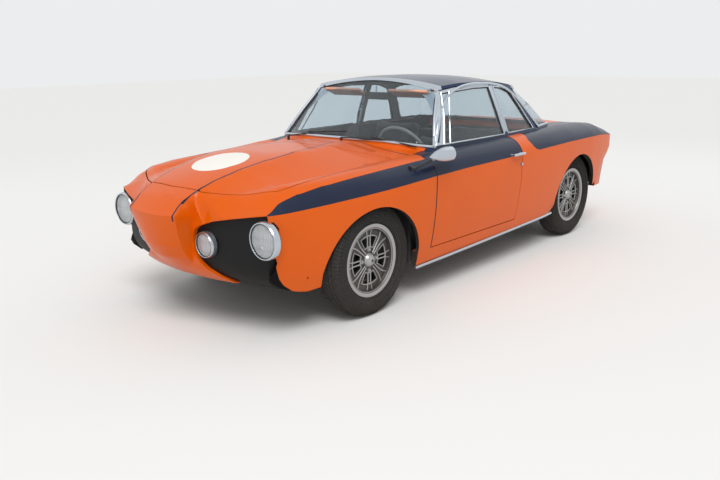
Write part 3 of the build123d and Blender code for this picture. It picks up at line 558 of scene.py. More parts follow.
class CoupePaint(bpy.types.PropertyGroup):
    body: bpy.props.FloatVectorProperty(name="Body", description="Main paint", subtype="COLOR", size=4, min=0,
                                        max=1,
                                        default=tint(226, 94, 0))
    band: bpy.props.FloatVectorProperty(name="Band", description="Side bands and bonnet lines",
                                        subtype="COLOR",
                                        size=4, min=0, max=1, default=tint(26, 36, 58))
    roof: bpy.props.FloatVectorProperty(name="Roof", description="Roof paint", subtype="COLOR", size=4, min=0,
                                        max=1,
                                        default=tint(24, 44, 76))
    roundel: bpy.props.FloatVectorProperty(name="Roundel", description="Blank disc on the bonnet",
                                           subtype="COLOR",
                                           size=4, min=0, max=1, default=tint(244, 241, 232))
    line: bpy.props.FloatProperty(name="Line width", description="Width of the dark bonnet lines",
                                  unit="LENGTH",
                                  default=0.011, min=0.002, max=0.05)


class CoupeTrim(bpy.types.PropertyGroup):
    screen: bpy.props.FloatProperty(name="Screen trim",
                                    description="Radius of the bright bead round the screens",
                                    unit="LENGTH", default=0.011, min=0.003, max=0.02)
    window: bpy.props.FloatProperty(name="Window trim",
                                    description="Radius of the bright bead round the side glass",
                                    unit="LENGTH", default=0.006, min=0.003, max=0.02)
    rail: bpy.props.FloatProperty(name="Drip rail", description="Radius of the rail over the doors",
                                  unit="LENGTH",
                                  default=0.0095, min=0.003, max=0.02)


class CoupeWheels(bpy.types.PropertyGroup):
    groove: bpy.props.FloatProperty(name="Tread depth", description="Depth of the tread grooves",
                                    unit="LENGTH",
                                    default=0.006, min=0.001, max=0.01)
    line: bpy.props.FloatProperty(name="Polished line", description="Radius of the raised lines on a wheel",
                                  unit="LENGTH", default=0.0032, min=0.001, max=0.006)
    metal: bpy.props.FloatVectorProperty(name="Wheel metal", description="Dark metal of the wheels",
                                         subtype="COLOR",
                                         size=4, min=0, max=1, default=tint(74, 74, 76))


class CoupeSeats(bpy.types.PropertyGroup):
    voxel: bpy.props.FloatProperty(name="Mesh size",
                                   description="Size of the cells that a cushion is rebuilt with",
                                   unit="LENGTH", default=0.008, min=0.004, max=0.03)
    pressure: bpy.props.FloatProperty(name="Stuffing", description="Pressure inside a cushion", default=4.0,
                                      min=0,
                                      max=20)
    swell: bpy.props.FloatProperty(name="Swell", description="Furthest that a point of a cushion may move",
                                   unit="LENGTH", default=0.022, min=0.0, max=0.06)


class CoupeStage(bpy.types.PropertyGroup):
    key: bpy.props.FloatProperty(name="Key light", description="Power of the large lamp over the nose",
                                 unit="POWER", default=36.0, min=0, max=5000)
    sun: bpy.props.FloatProperty(name="Sun", description="Strength of the soft sun", default=1.5, min=0,
                                 max=10)
    world: bpy.props.FloatProperty(name="Sky", description="Strength of the even light", default=0.56, min=0,
                                   max=3)


BAND_REACH = (
    (-2.2, 0.66), (-1.80, 0.637), (-1.758, 0.632), (-1.705, 0.641), (-1.622, 0.662), (-1.427, 0.682),
    (-1.205, 0.692), (-0.963, 0.700), (-0.714, 0.720), (-0.657, 0.720), (-0.65, 0.60), (2.2, 0.60))
BAND_LOWER_EDGE = (
    (-2.2, 0.675), (-1.818, 0.684), (-1.663, 0.690), (-1.352, 0.704), (-1.061, 0.716), (-0.688, 0.737),
    (-0.323, 0.748), (0.094, 0.753), (0.545, 0.761), (0.691, 0.764), (1.01, 0.769), (1.376, 0.767),
    (1.59, 0.764), (1.82, 0.747), (2.2, 0.70))
FRONT_BAND_END = 0.312
REAR_BAND_START = (
    (0.74, 0.56), (0.761, 0.545), (0.766, 0.522), (0.770, 0.506), (0.789, 0.478), (0.814, 0.463),
    (0.834, 0.454), (0.862, 0.483), (0.873, 0.495), (0.90, 0.50))
REAR_BAND_REACH = 0.503
BONNET_LINE = (
    (-2.2, 0.19), (-2.061, 0.190), (-2.018, 0.187), (-1.978, 0.194), (-1.930, 0.199), (-1.861, 0.210),
    (-1.799, 0.214), (-1.713, 0.231), (-1.586, 0.244), (-1.450, 0.252), (-1.288, 0.239), (-1.078, 0.187),
    (-0.820, 0.102), (-0.7, 0.06))
BONNET_LINE_END = -0.78
NOSE_CREST = (
    (-2.2, 0.60), (-2.06, 0.60), (-2.052, 0.655), (-2.026, 0.686), (-2.002, 0.708), (-1.967, 0.735),
    (-1.933, 0.757), (-1.88, 0.770), (-0.7, 0.80))
ROUNDEL_Y = -1.59
ROUNDEL_RADIUS = 0.16
DOOR_SEAM_Y = -0.655
DOOR_SEAM_SHADE_HALF = 0.0045


def painted(tree):
    """Body paint: orange, with the measured side bands, bonnet lines and the blank roundel, and painted shade
    in a dark line over the door's front shut line.
    """
    paint = bpy.context.scene.coupe_paint
    x, y, z = object_axes(tree)
    out = calc(tree, "ABSOLUTE", x)
    high = over(tree, z, along(tree, y, BAND_LOWER_EDGE))
    front = every(tree, high, over(tree, out, along(tree, y, BAND_REACH)), under(tree, y, FRONT_BAND_END))
    rear = every(tree, high, over(tree, y, along(tree, z, REAR_BAND_START)),
                 over(tree, out, REAR_BAND_REACH))
    line = every(tree, under(tree, apart(tree, out, along(tree, y, BONNET_LINE)), paint.line / 2),
                 under(tree, y, BONNET_LINE_END), over(tree, z, along(tree, y, NOSE_CREST)))
    dark = calc(tree, "MAXIMUM", calc(tree, "MAXIMUM", front, rear), line)
    from_roundel = length_of(tree, x, calc(tree, "SUBTRACT", y, ROUNDEL_Y))
    disc = every(tree, under(tree, from_roundel, ROUNDEL_RADIUS), over(tree, z, 0.8))
    # Painted shade: a dark band on the outer skins along the door's front shut line, standing in for the
    # shade inside the gap.
    seam_shade = every(tree, under(tree, apart(tree, y, DOOR_SEAM_Y), DOOR_SEAM_SHADE_HALF), over(tree, z, 0.3))
    place = add_node(tree, "ShaderNodeTexCoord").outputs["Object"]
    cloud = add_node(tree, "ShaderNodeTexNoise", {"Vector": place, "Scale": 2.2, "Detail": 3.0}).outputs[0]
    deep = [value * 0.88 for value in paint.body[:3]]
    colour = mixed(tree, cloud, tuple(paint.body), (*deep, 1.0))
    colour = mixed(tree, dark, colour, tuple(paint.band))
    colour = mixed(tree, seam_shade, colour, POCKET_BLACK_AND_SEAM_SHADE)
    return mixed(tree, disc, colour, tuple(paint.roundel))


WING_POCKET_EDGE = ((0.2, 0.650), (0.299, 0.646), (0.35, 0.643), (0.40, 0.646), (0.5, 0.652))


def pocket_corner(tree):
    """1 on the low corners of the wings beside the lamp pockets, which are matt black too."""
    x, y, z = object_axes(tree)
    out = calc(tree, "ABSOLUTE", x)
    return every(tree, under(tree, out, along(tree, z, WING_POCKET_EDGE)), under(tree, z, 0.45),
                 under(tree, y, -1.69), over(tree, out, 0.60))


WAIST_Z = 0.885


def window_frames(tree):
    """1 on the doors' window frames, above the waist."""
    return over(tree, object_axes(tree)[2], WAIST_Z)


def leaning(tree, height, start_z, slope, start_y):
    """The place along the car of a line that leans back as it climbs."""
    return calc(tree, "MULTIPLY_ADD", calc(tree, "SUBTRACT", height, start_z), slope, start_y)


def screen_frame(tree):
    """1 on the screen pillars and header, before two leaning lines, and on the pillars behind the doors."""
    x, y, z = object_axes(tree)
    pillar = leaning(tree, z, WAIST_Z, 0.76, -0.475)
    header = leaning(tree, z, 1.202, 0.365, -0.248)
    middle = every(tree, under(tree, apart(tree, y, 0.30), 0.05), over(tree, calc(tree, "ABSOLUTE", x), 0.53),
                   under(tree, z, 1.205))
    frame = calc(tree, "MAXIMUM", under(tree, y, calc(tree, "MINIMUM", pillar, header)), middle)
    return every(tree, frame, over(tree, z, 0.9))


def screen_base(tree):
    """1 on the panel in front of the windscreen, between the feet of its pillars."""
    x, y, z = object_axes(tree)
    return every(tree, under(tree, z, 0.908), under(tree, y, 0.0),
                 under(tree, calc(tree, "ABSOLUTE", x), 0.612))


MOVING_PANELS = ("bonnet", "boot_lid", "door_left", "door_right")


class COUPE_OT_paint(bpy.types.Operator):
    """Paint the body panels, the roof, the lamp pockets and the sills"""

    bl_idname = "coupe.paint"
    bl_label = "Paint body"

    def execute(self, context):
        paint = context.scene.coupe_paint
        gloss = {"Coat_Weight": 0.28, "Coat_Roughness": 0.05, "Specular_IOR_Level": 0.12}
        coat = (painted, 0.34, 0.08, 700, 0.02, 0.08, 0.5)
        body = finish_of("Orange paint", *coat, **gloss)
        masked(body, pocket_corner, Base_Color=POCKET_BLACK_AND_SEAM_SHADE, Roughness=0.62, Coat_Weight=0.0)
        doors = finish_of("Door paint", *coat, **gloss)
        masked(doors, window_frames, **BRIGHT_FRAME)
        card = finish_of("Door lining", tint(40, 40, 42), 0.5, 0.12, 360, 0.2)
        ceiling = finish_of("Headlining", tint(128, 126, 120), 0.85, 0.08, 900, 0.4)
        for node in BODY_NODES:
            finish, lining = (doors, card) if node.startswith("door") else (body, UNDERSEAL)
            rides_on = node if node in MOVING_PANELS else "body"
            smooth_skin(node, finish, rides_on, lining)
        smooth_skin("sills", body, "body", UNDERSEAL)
        roof = finish_of("Dark roof paint", tuple(paint.roof), 0.26, 0.1, 500, 0.02, **gloss)
        masked(roof, screen_frame, **BRIGHT_FRAME)
        masked(roof, screen_base, Base_Color=tuple(paint.body), Metallic=0.0, Roughness=0.34)
        smooth_skin("roof", roof, "body", ceiling)
        pocket = finish_of("Matt black", POCKET_BLACK_AND_SEAM_SHADE, 0.62, 0.15, 300, 0.15, 0.12, 0.45,
                           Specular_IOR_Level=0.3)
        smooth_skin("lamp_pockets", pocket, "body")
        return {"FINISHED"}


CABIN = (0, 0.15, 0.85)


class COUPE_OT_glass(bpy.types.Operator):
    """Glaze the windows and edge them with bright beads and dark seals"""

    bl_idname = "coupe.glass"
    bl_label = "Glaze windows"

    def execute(self, context):
        trim = context.scene.coupe_trim
        clear = finish_of("Window glass", tint(224, 234, 240), 0.02, 0.02, 40, Transmission_Weight=0.97,
                          IOR=1.3)
        seal = finish_of("Window seal", tint(24, 24, 25), 0.6, 0.1, 400, 0.1)
        panes = {"windscreen": ("body", trim.screen), "rear_window": ("body", trim.screen)}
        for side in ("left", "right"):
            panes["quarter_glass_" + side] = ("body", trim.window)
            panes["door_glass_" + side] = ("door_" + side, trim.window)
        for node, (body, radius) in panes.items():
            bead = rod(swollen(edge_outline(node, node + "_bead", CABIN), CABIN, 1.012), radius)
            chromed(bead, body)
            rubber = rod(swollen(edge_outline(node, node + "_seal", CABIN), CABIN, 0.9935), radius * 1.25)
            dress(rubber, seal, body)
            smooth_skin(node, clear, body)
        return {"FINISHED"}


RAIL_POINTS = ((0.662, -0.505, 0.885), (0.612, -0.385, 1.045), (0.540, -0.262, 1.205), (0.545, -0.150, 1.228),
               (0.551, 0.05, 1.238), (0.550, 0.25, 1.234), (0.545, 0.42, 1.216), (0.541, 0.53, 1.186),
               (0.560, 0.60, 1.120), (0.600, 0.72, 0.985), (0.640, 0.80, 0.885))
VENT_BAR = ((0.667, -0.335, 0.884), (0.603, -0.258, 1.040), (0.553, -0.195, 1.192))
SILL_STRIP = ((0.734, -0.775, 0.197), (0.746, -0.48, 0.207), (0.754, 0.27, 0.228), (0.755, 0.75, 0.242),
              (0.752, 0.86, 0.249))
SILL_STRIP_RADIUS = 0.009
MIRROR_HEAD = ((-0.80, 0.003), (-0.785, 0.006), (-0.747, 0.021), (-0.709, 0.031), (-0.66, 0.040),
               (-0.625, 0.0445), (-0.58, 0.0445))
MIRROR_X, MIRROR_Z = 0.84, 0.865


def mirror_head(tree):
    """1 on the mirror's head, 0 on its stalk."""
    x, y, z = object_axes(tree)
    from_middle = length_of(tree, calc(tree, "SUBTRACT", x, MIRROR_X), calc(tree, "SUBTRACT", z, MIRROR_Z))
    return under(tree, from_middle, along(tree, y, MIRROR_HEAD))


class COUPE_OT_trim(bpy.types.Operator):
    """Fit the drip rails, the vent window bars and the strips along the sills"""

    bl_idname = "coupe.trim"
    bl_label = "Fit bright trim"

    def execute(self, context):
        trim = context.scene.coupe_trim
        rail = wire("drip_rail_left", rounded_path(RAIL_POINTS))
        apply_modifier(rail, "SHRINKWRAP", target=bpy.data.objects["roof_skin"], offset=0.007,
                       wrap_method="NEAREST_SURFACEPOINT", wrap_mode="OUTSIDE_SURFACE")
        rail = rod(evened(rail, 40), trim.rail)
        chromed(rail)
        chromed(copied(rail, "drip_rail_right", mirror=True))
        for side, sign in SIDES:
            bar = wire("vent_bar_" + side, [(sign * x, y, z) for x, y, z in VENT_BAR])
            chromed(rod(bar, trim.window), "door_" + side)
            strip = wire("sill_strip_" + side, [(sign * x, y, z) for x, y, z in SILL_STRIP])
            chromed(rod(strip, SILL_STRIP_RADIUS))
        for node in ("door_handle_left", "door_handle_right"):
            wear(NODES[node], CHROME)
        stalk = finish_of("Dark stalk", tint(26, 26, 28), 0.4, 0.1, 300, 0.05)
        wear(NODES["wing_mirror"], masked(stalk, mirror_head, **BRIGHT))
        wear(NODES["wipers"], finish_of("Wiper black", tint(30, 30, 32), 0.45, 0.1, 300, 0.1))
        return {"FINISHED"}


LAMPS = (("headlamp", 0.622, -1.850, 0.559, 0.100), ("fog_lamp", 0.264, -1.936, 0.500, 0.071))
LAMP_AWAY = (0, -1, 0)
TAIL_LAMP = (0.560, 1.997, 0.640)
TAIL_LAMP_TURN = 15
TAIL_LAMP_HALF = 0.040
TAIL_LAMP_RADIUS = 0.038
TAIL_BEZEL_RADIUS = 0.0045


def tail_rim_point(degrees):
    """A point on the rim of the left tail lamp: two half circles, set apart, on a turned face."""
    turn = radians(degrees)
    along_x = TAIL_LAMP_RADIUS * cos(turn) + (TAIL_LAMP_HALF if cos(turn) > 0 else -TAIL_LAMP_HALF)
    lean = radians(TAIL_LAMP_TURN)
    return Vector(TAIL_LAMP) + Vector((along_x * cos(lean), -along_x * sin(lean),
                                       TAIL_LAMP_RADIUS * sin(turn)))


def waves(tree, value, pace, shift=0.0):
    """Rounded ribs, from 0 to 1, that follow each other along one direction."""
    return calc(tree, "ABSOLUTE", calc(tree, "SINE", calc(tree, "MULTIPLY_ADD", value, pace, shift)))


def painted_flute_light(tree):
    """Painted highlights and shade of the lens flutes: fine upright ones, with broader rows across."""
    axes = object_axes(tree)
    share = calc(tree, "MULTIPLY_ADD", waves(tree, axes[2], 60.0, 0.4), 0.4, 0.5)
    share = calc(tree, "MULTIPLY", share, waves(tree, axes[0], 300.0))
    return mixed(tree, share, tint(206, 214, 222), tint(255, 255, 255))


def raised(made, pattern, strength, depth, **inputs):
    """Raise a finish along a pattern of heights."""
    tree = made.node_tree
    height = {"Strength": strength, "Distance": depth, "Height": pattern(tree), **inputs}
    bump = add_node(tree, "ShaderNodeBump", height)
    tree.links.new(bump.outputs[0], tree.nodes["Principled BSDF"].inputs["Normal"])
    return made


def lens_ribs(tree):
    """The height of the fine upright flutes in a lamp lens."""
    return waves(tree, object_axes(tree)[0], 520.0)


class COUPE_OT_lamps(bpy.types.Operator):
    """Build the head and fog lamps: ring, reflector, fluted lens and bulb cap; and finish the tail lamps"""

    bl_idname = "coupe.lamps"
    bl_label = "Build lamps"

    def execute(self, context):
        # The lens colour is painted light: bright and dark stripes for the highlights and shade of its
        # flutes.
        lens = finish_of("Lamp lens", painted_flute_light, 0.04, 0.02, 40, Transmission_Weight=0.42, IOR=1.45,
                         Coat_Weight=0.6)
        raised(lens, lens_ribs, 0.8, 0.003)
        mirror = finish_of("Reflector", tint(240, 243, 247), 0.18, 0.06, 60, Metallic=0.8)
        shell = finish_of("Lamp shell", tint(30, 30, 31), 0.5, 0.1, 200, 0.1)
        for name, x, y, z, r in LAMPS:
            for side, sign in SIDES:
                centre = (sign * x, y, z)
                ring = turned(f"{name}_ring_{side}", (
                    (-0.034, r * 0.995), (-0.012, r * 0.995), (-0.004, r * 0.97), (0.001, r * 0.93),
                    (0.000, r * 0.885), (-0.008, r * 0.86), (-0.034, r * 0.86)), centre, LAMP_AWAY, 64)
                apply_modifier(ring, "SOLIDIFY", thickness=0.0012, offset=-1)
                chromed(ring)
                bowl = turned(f"{name}_bowl_{side}", (
                    (-0.010, r * 0.85), (-0.022, r * 0.80), (-0.040, r * 0.62), (-0.052, r * 0.38),
                    (-0.057, r * 0.16), (-0.040, r * 0.14), (-0.028, r * 0.11), (-0.026, 0.0003)),
                    centre, LAMP_AWAY)
                dress(bowl, mirror, "body", 60)
                back = turned(f"{name}_shell_{side}", (
                    (-0.012, r * 0.97), (-0.034, r * 0.96), (-0.058, r * 0.75), (-0.0595, 0.0003)),
                    centre, LAMP_AWAY)
                dress(back, shell, "body")
                glass = turned(f"{name}_lens_{side}", (
                    (-0.007, r * 0.865), (-0.0045, r * 0.70), (-0.0005, r * 0.45), (0.0035, r * 0.22),
                    (0.005, 0.0003)), centre, LAMP_AWAY)
                apply_modifier(glass, "SOLIDIFY", thickness=0.003, offset=-1)
                dress(glass, lens, "body", 60)
                seal = turned(f"{name}_seal_{side}", (
                    (-0.012, r * 0.875), (-0.0015, r * 0.875), (-0.0015, r * 0.845), (-0.012, r * 0.845)),
                    centre, LAMP_AWAY)
                dress(seal, shell, "body")
        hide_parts("front_lamps")
        red = finish_of("Red lens", tint(150, 8, 6), 0.14, 0.05, 500, Coat_Weight=0.3)
        raised(red, lens_ribs, 0.6, 0.002)
        wear(NODES["tail_lamps"], red)
        for side, sign in SIDES:
            rim = [tail_rim_point(degrees) for degrees in range(0, 361, 10)]
            rim = [Vector((sign * point.x, point.y, point.z)) for point in rim]
            chromed(rod(wire("tail_lamp_bezel_" + side, rim, closed=True), TAIL_BEZEL_RADIUS))
        return {"FINISHED"}


TREAD = ((-0.062, 0.311), (-0.054, 0.3132), (-0.0535, "low"), (-0.0475, "low"), (-0.047, 0.3158),
         (-0.031, 0.3182),
         (-0.0305, "low"), (-0.0255, "low"), (-0.025, 0.3187), (-0.009, 0.3198), (-0.0085, "low"),
         (-0.0045, "low"),
         (-0.004, 0.32), (0.004, 0.32), (0.0045, "low"), (0.0085, "low"), (0.009, 0.3198), (0.025, 0.3187),
         (0.0255, "low"), (0.0305, "low"), (0.031, 0.3182), (0.047, 0.3158), (0.0475, "low"), (0.0535, "low"),
         (0.054, 0.3132), (0.062, 0.311))
SIDEWALL = ((0.0668, 0.305), (0.0690, 0.298), (0.0756, 0.290), (0.0790, 0.281), (0.0800, 0.2795),
            (0.0816, 0.270),
            (0.0822, 0.262), (0.0818, 0.252), (0.0800, 0.243), (0.0790, 0.2415), (0.0760, 0.230),
            (0.0718, 0.220),
            (0.0690, 0.2185), (0.0664, 0.2115), (0.0600, 0.2098), (0.0560, 0.208), (0.0560, 0.191))


TREAD_STEPS = 90
TREAD_FLOOR = 0.3155
SHOULDER = 0.311
RIB_OFFSET = 0.011
WHEEL_FACE = 0.038


def wheel_middle(node):
    """The middle of a wheel or tyre node."""
    low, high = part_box(node)
    return (low + high) / 2


def build_tyre(depth):
    """One tyre with its tread grooves, shoulder blocks and sidewall steps, round the front left wheel."""
    centre = wheel_middle("tyre_front_left")
    tread = [(x, TREAD_FLOOR - depth if r == "low" else r) for x, r in TREAD]
    profile = [(-x, r) for x, r in reversed(SIDEWALL)] + tread + list(SIDEWALL)
    profile.append(profile[0])
    tyre = turned("tyre_master", profile, centre, (1, 0, 0), TREAD_STEPS, wrap=True)
    for face in tyre.data.polygons:
        place = face.center - centre
        radius = (place.y ** 2 + place.z ** 2) ** 0.5
        step = int(round((pi + wheel_angle(place)) / (2 * pi) * TREAD_STEPS))
        face.select = radius > SHOULDER and 0.031 < abs(place.x) < 0.062 and step % 3 == 0
    take(tyre)
    mode("EDIT")
    bpy.ops.mesh.select_mode(type="FACE")
    mode("OBJECT")
    mode("EDIT")
    bpy.ops.mesh.inset(thickness=0.0012, depth=-0.004, use_individual=True)
    mode("OBJECT")
    return tyre


def wheel_angle(place):
    """The angle of a place round the wheel."""
    return Vector((0.0, 1.0)).angle_signed(Vector((place.y, place.z)).normalized())


def ring_point(radius, degrees, centre, out):
    """A point on the wheel's face, at a radius and an angle from the forward spoke."""
    turn = radians(degrees)
    return Vector(centre) + Vector((out, radius * cos(turn), radius * sin(turn)))


def build_wheel_dress(line):
    """Polished rings, window outlines, spoke lines, hub cap and nuts, round the front left wheel."""
    centre = wheel_middle("tyre_front_left")
    face = WHEEL_FACE
    parts = [
        turned("rim_ring", ((0.0560, 0.2075), (0.0632, 0.2075), (0.0642, 0.2010), (0.0618, 0.1930),
                            (0.0592, 0.1870),
                            (0.0560, 0.1870), (0.0560, 0.2075)),
               centre, (1, 0, 0), 96, wrap=True),
        turned("inner_ring", ((0.0500, 0.1828), (0.0574, 0.1828), (0.0580, 0.1800), (0.0500, 0.1768),
                              (0.0500, 0.1828)),
               centre, (1, 0, 0), 96, wrap=True),
    ]
    for quarter in range(4):
        base = quarter * 90
        window = [ring_point(0.0745, base + d, centre, face) for d in (-27, -14, 0, 14, 27)]
        window += [ring_point(0.1395, base + d, centre, face) for d in (28.5, 19, 9.5, 0, -9.5, -19, -28.5)]
        window.append(window[0])
        parts.append(rod(wire("window_line", window, closed=True), line * 1.2, 2))
        for side in (-RIB_OFFSET, RIB_OFFSET):
            aside = ring_point(side, base + 90, (0, 0, 0), 0)
            rib = [ring_point(radius, base, centre, face) + aside for radius in (0.076, 0.138)]
            parts.append(rod(wire("rib_line", rib), line * 1.3, 2))
        for shift in (-5.2, 5.2):
            inner = ring_point(0.140, base + shift, centre, face)
            outer = ring_point(0.176, base + shift * 1.3, centre, face + 0.001)
            parts.append(rod(wire("short_line", [inner, outer]), line, 2))
            spoke = [ring_point(0.046, base + 45 + shift * 1.7, centre, face + 0.003),
                     ring_point(0.100, base + 45 + shift * 1.15, centre, face),
                     ring_point(0.140, base + 45 + shift * 1.3, centre, face),
                     ring_point(0.178, base + 45 + shift * 2.1, centre, face + 0.001)]
            parts.append(rod(wire("spoke_line", rounded_path(spoke, 1)), line * 1.25, 2))
    parts.append(turned("hub_cap", (
        (0.036, 0.042), (0.042, 0.041), (0.047, 0.037), (0.051, 0.034), (0.058, 0.028), (0.063, 0.018),
        (0.0655, 0.008), (0.0658, 0.0003)), centre, (1, 0, 0), 40))
    for number in range(4):
        spot = ring_point(0.060, number * 90, centre, 0)
        parts.append(turned("nut", (
            (0.030, 0.0125), (0.0385, 0.0125), (0.0395, 0.0085), (0.046, 0.0082), (0.0475, 0.0062),
            (0.0475, 0.0003)),
            spot, (1, 0, 0), 6))
    return joined(parts, "wheel_dress_master")


class COUPE_OT_wheels(bpy.types.Operator):
    """Build the tyres with their tread, and dress the wheels with polished rings, lines and hub caps"""

    bl_idname = "coupe.wheels"
    bl_label = "Build wheels"

    def execute(self, context):
        sizes = context.scene.coupe_wheels
        rubber = finish_of("Tyre rubber", tint(46, 46, 47), 0.75, 0.15, 260, 0.25, 0.3, 0.7)
        metal = finish_of("Dark wheel metal", tuple(sizes.metal), 0.42, 0.2, 220, 0.12, 0.6, 0.6,
                          Metallic=0.75)
        polished = finish_of("Polished lines", tint(172, 172, 171), 0.32, 0.1, 300, 0.03, 0.15, 0.6,
                             Metallic=0.6)
        tyre = build_tyre(sizes.groove)
        lines = build_wheel_dress(sizes.line)
        home = wheel_middle("tyre_front_left")
        for body, place, sign in WHEELS:
            there = wheel_middle("tyre_" + place)
            shift = Vector((sign * there.x, there.y, there.z)) - home
            ring = dress(copied(tyre, "dressed_tyre_" + place, shift, sign < 0), rubber, body,
                         30)
            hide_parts("tyre_" + place)
            dress(copied(lines, "wheel_lines_" + place, shift, sign < 0), polished, body)
            wear(NODES["wheel_" + place], metal)
        for master in (tyre, lines):
            bpy.data.objects.remove(master)
        return {"FINISHED"}


CLOTH_FRAMES = 20


def pleats(tree):
    """The height of the sewn channels that run along a seat."""
    return calc(tree, "POWER", waves(tree, object_axes(tree)[0], 105.0), 0.35)


def cushion(name, low, high, tilt, pivot, settings):
    """A stuffed cushion: a rounded block, rebuilt in small cells and blown up by a short cloth simulation."""
    pad = block(name, low, high, 0.035, 3)
    turn_piece(pad, tilt, "X", pivot)
    apply_modifier(pad, "REMESH", mode="VOXEL", voxel_size=settings.voxel)
    rest = [vertex.co.copy() for vertex in pad.data.vertices]
    take(pad)
    cloth = pad.modifiers.new("Cloth", "CLOTH")
    cloth.settings.quality = 4
    cloth.settings.mass = 0.4
    cloth.settings.tension_stiffness = 12
    cloth.settings.compression_stiffness = 12
    cloth.settings.bending_stiffness = 0.8
    cloth.settings.use_pressure = True
    cloth.settings.uniform_pressure_force = settings.pressure
    cloth.settings.effector_weights.gravity = 0
    cloth.point_cache.frame_start = 1
    cloth.point_cache.frame_end = CLOTH_FRAMES
    for number in range(1, CLOTH_FRAMES + 1):
        bpy.context.scene.frame_set(number)
    bpy.ops.object.modifier_apply(modifier=cloth.name)
    bpy.context.scene.frame_set(1)
    for vertex, start in zip(pad.data.vertices, rest):
        step = vertex.co - start
        if step.length > settings.swell:
            vertex.co = start + step.normalized() * settings.swell
    apply_modifier(pad, "SUBSURF", levels=1, render_levels=1)
    return pad


class COUPE_OT_seats(bpy.types.Operator):
    """Stuff the front seats and the rear bench in pleated vinyl"""

    bl_idname = "coupe.seats"
    bl_label = "Stuff seats"

    def execute(self, context):
        settings = context.scene.coupe_seats
        vinyl = finish_of("Black vinyl", tint(58, 58, 62), 0.45, 0.12, 420, 0.2)
        raised(vinyl, pleats, 0.7, 0.006, Normal=vinyl.node_tree.nodes["Bump"].outputs[0])
        base = cushion("seat_base_left", (0.145, -0.155, 0.315), (0.575, 0.290, 0.432), 3, (0.36, 0, 0.36),
                       settings)
        back = cushion("seat_back_left", (0.150, 0.285, 0.420), (0.570, 0.372, 0.930), -12,
                       (0.36, 0.30, 0.42), settings)
        bench = cushion("rear_seat_base", (-0.44, 0.510, 0.290), (0.44, 0.730, 0.410), 3, (0, 0.6, 0.35),
                        settings)
        rest = cushion("rear_seat_back", (-0.44, 0.735, 0.400), (0.44, 0.800, 0.770), -8, (0, 0.76, 0.41),
                       settings)
        pads = ((base, "front_seat_left"), (back, "front_seat_left"),
                (copied(base, "seat_base_right", mirror=True), "front_seat_right"),
                (copied(back, "seat_back_right", mirror=True), "front_seat_right"),
                (bench, "rear_seat"), (rest, "rear_seat"))
        for pad, seat in pads:
            dress(pad, vinyl, "body", 60)
            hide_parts(seat)
        shell = finish_of("Seat frame", tint(26, 26, 27), 0.5, 0.1, 300, 0.1)
        for side, sign in SIDES:
            for end in (0.16, 0.53):
                rail = block(f"seat_rail_{side}_{int(end * 100)}", (sign * end - 0.015, -0.16, 0.241),
                             (sign * end + 0.015, 0.30, 0.302), 0.004)
                dress(rail, shell, "body")
        return {"FINISHED"}


DIALS = ((0.375, 0.052), (0.245, 0.052), (0.12, 0.030))
DIAL_AXIS = (0, 1, 0.12)
VISOR_TURN = 66


class COUPE_OT_cabin(bpy.types.Operator):
    """Trim the cabin: dials, sun visors, inner mirror, door cards, carpets and the parcel shelf"""

    bl_idname = "coupe.cabin"
    bl_label = "Trim cabin"

    def execute(self, context):
        black = finish_of("Cabin black", tint(30, 30, 32), 0.5, 0.12, 300, 0.15)
        card = finish_of("Door card vinyl", tint(46, 46, 48), 0.5, 0.12, 360, 0.2)
        carpet = finish_of("Carpet", tint(36, 34, 34), 0.95, 0.1, 900, 0.8, Sheen_Weight=0.3)
        cloth = finish_of("Visor vinyl", tint(238, 172, 142), 0.6, 0.1, 400, 0.2)
        face = finish_of("Dial face", tint(18, 18, 19), 0.35, 0.1, 200)
        for node in ("dashboard", "steering_column"):
            wear(NODES[node], black)
        wear(NODES["steering_wheel"], finish_of("Grey wheel rim", tint(150, 148, 144), 0.4, 0.1, 260, 0.08))
        wear(NODES["tub"], carpet)
        for number, (x, radius) in enumerate(DIALS):
            centre = (x, -0.436, 0.722)
            bezel = turned(f"dial_bezel_{number}", ((0, radius), (0.008, radius), (0.009, radius - 0.006),
                                                    (0.003, radius - 0.009)), centre, DIAL_AXIS, 40)
            chromed(bezel)
            dial = turned(f"dial_face_{number}", ((0.001, radius - 0.004), (0.003, radius - 0.006),
                                                  (0.003, 0.0003)), centre, DIAL_AXIS, 40)
            dress(dial, face, "body")
        for side, sign in SIDES:
            door = "door_" + side
            visor = side_block("visor_" + side, sign, (0.13, -0.300, 1.080), (0.45, -0.282, 1.195), 0.007, 3)
            turn_piece(visor, VISOR_TURN, "X", (0, -0.29, 1.195))
            dress(visor, cloth, "body")
            panel = side_block("door_card_" + side, sign, (0.655, -0.55, 0.36), (0.672, 0.26, 0.83), 0.006, 3)
            dress(panel, card, door)
            rest = side_block("arm_rest_" + side, sign, (0.620, -0.28, 0.58), (0.66, 0.12, 0.625), 0.014, 4)
            dress(rest, card, door)
            crank = turned("window_crank_" + side, ((0, 0.020), (0.012, 0.020), (0.016, 0.010),
                                                    (0.016, 0.0003)), (sign * 0.656, -0.36, 0.66),
                                                    (-sign, 0, 0), 24)
            chromed(crank, door)
        mirror = block("inner_mirror", (-0.10, -0.262, 1.125), (0.10, -0.245, 1.175), 0.008, 3)
        dress(mirror, black, "body")
        chromed(rod(wire("inner_mirror_stem", ((0, -0.255, 1.17), (0, -0.25, 1.215))), 0.005))
        shelf = block("parcel_shelf", (-0.53, 0.86, 0.782), (0.53, 1.02, 0.798), 0.006)
        dress(shelf, carpet, "body")
        return {"FINISHED"}


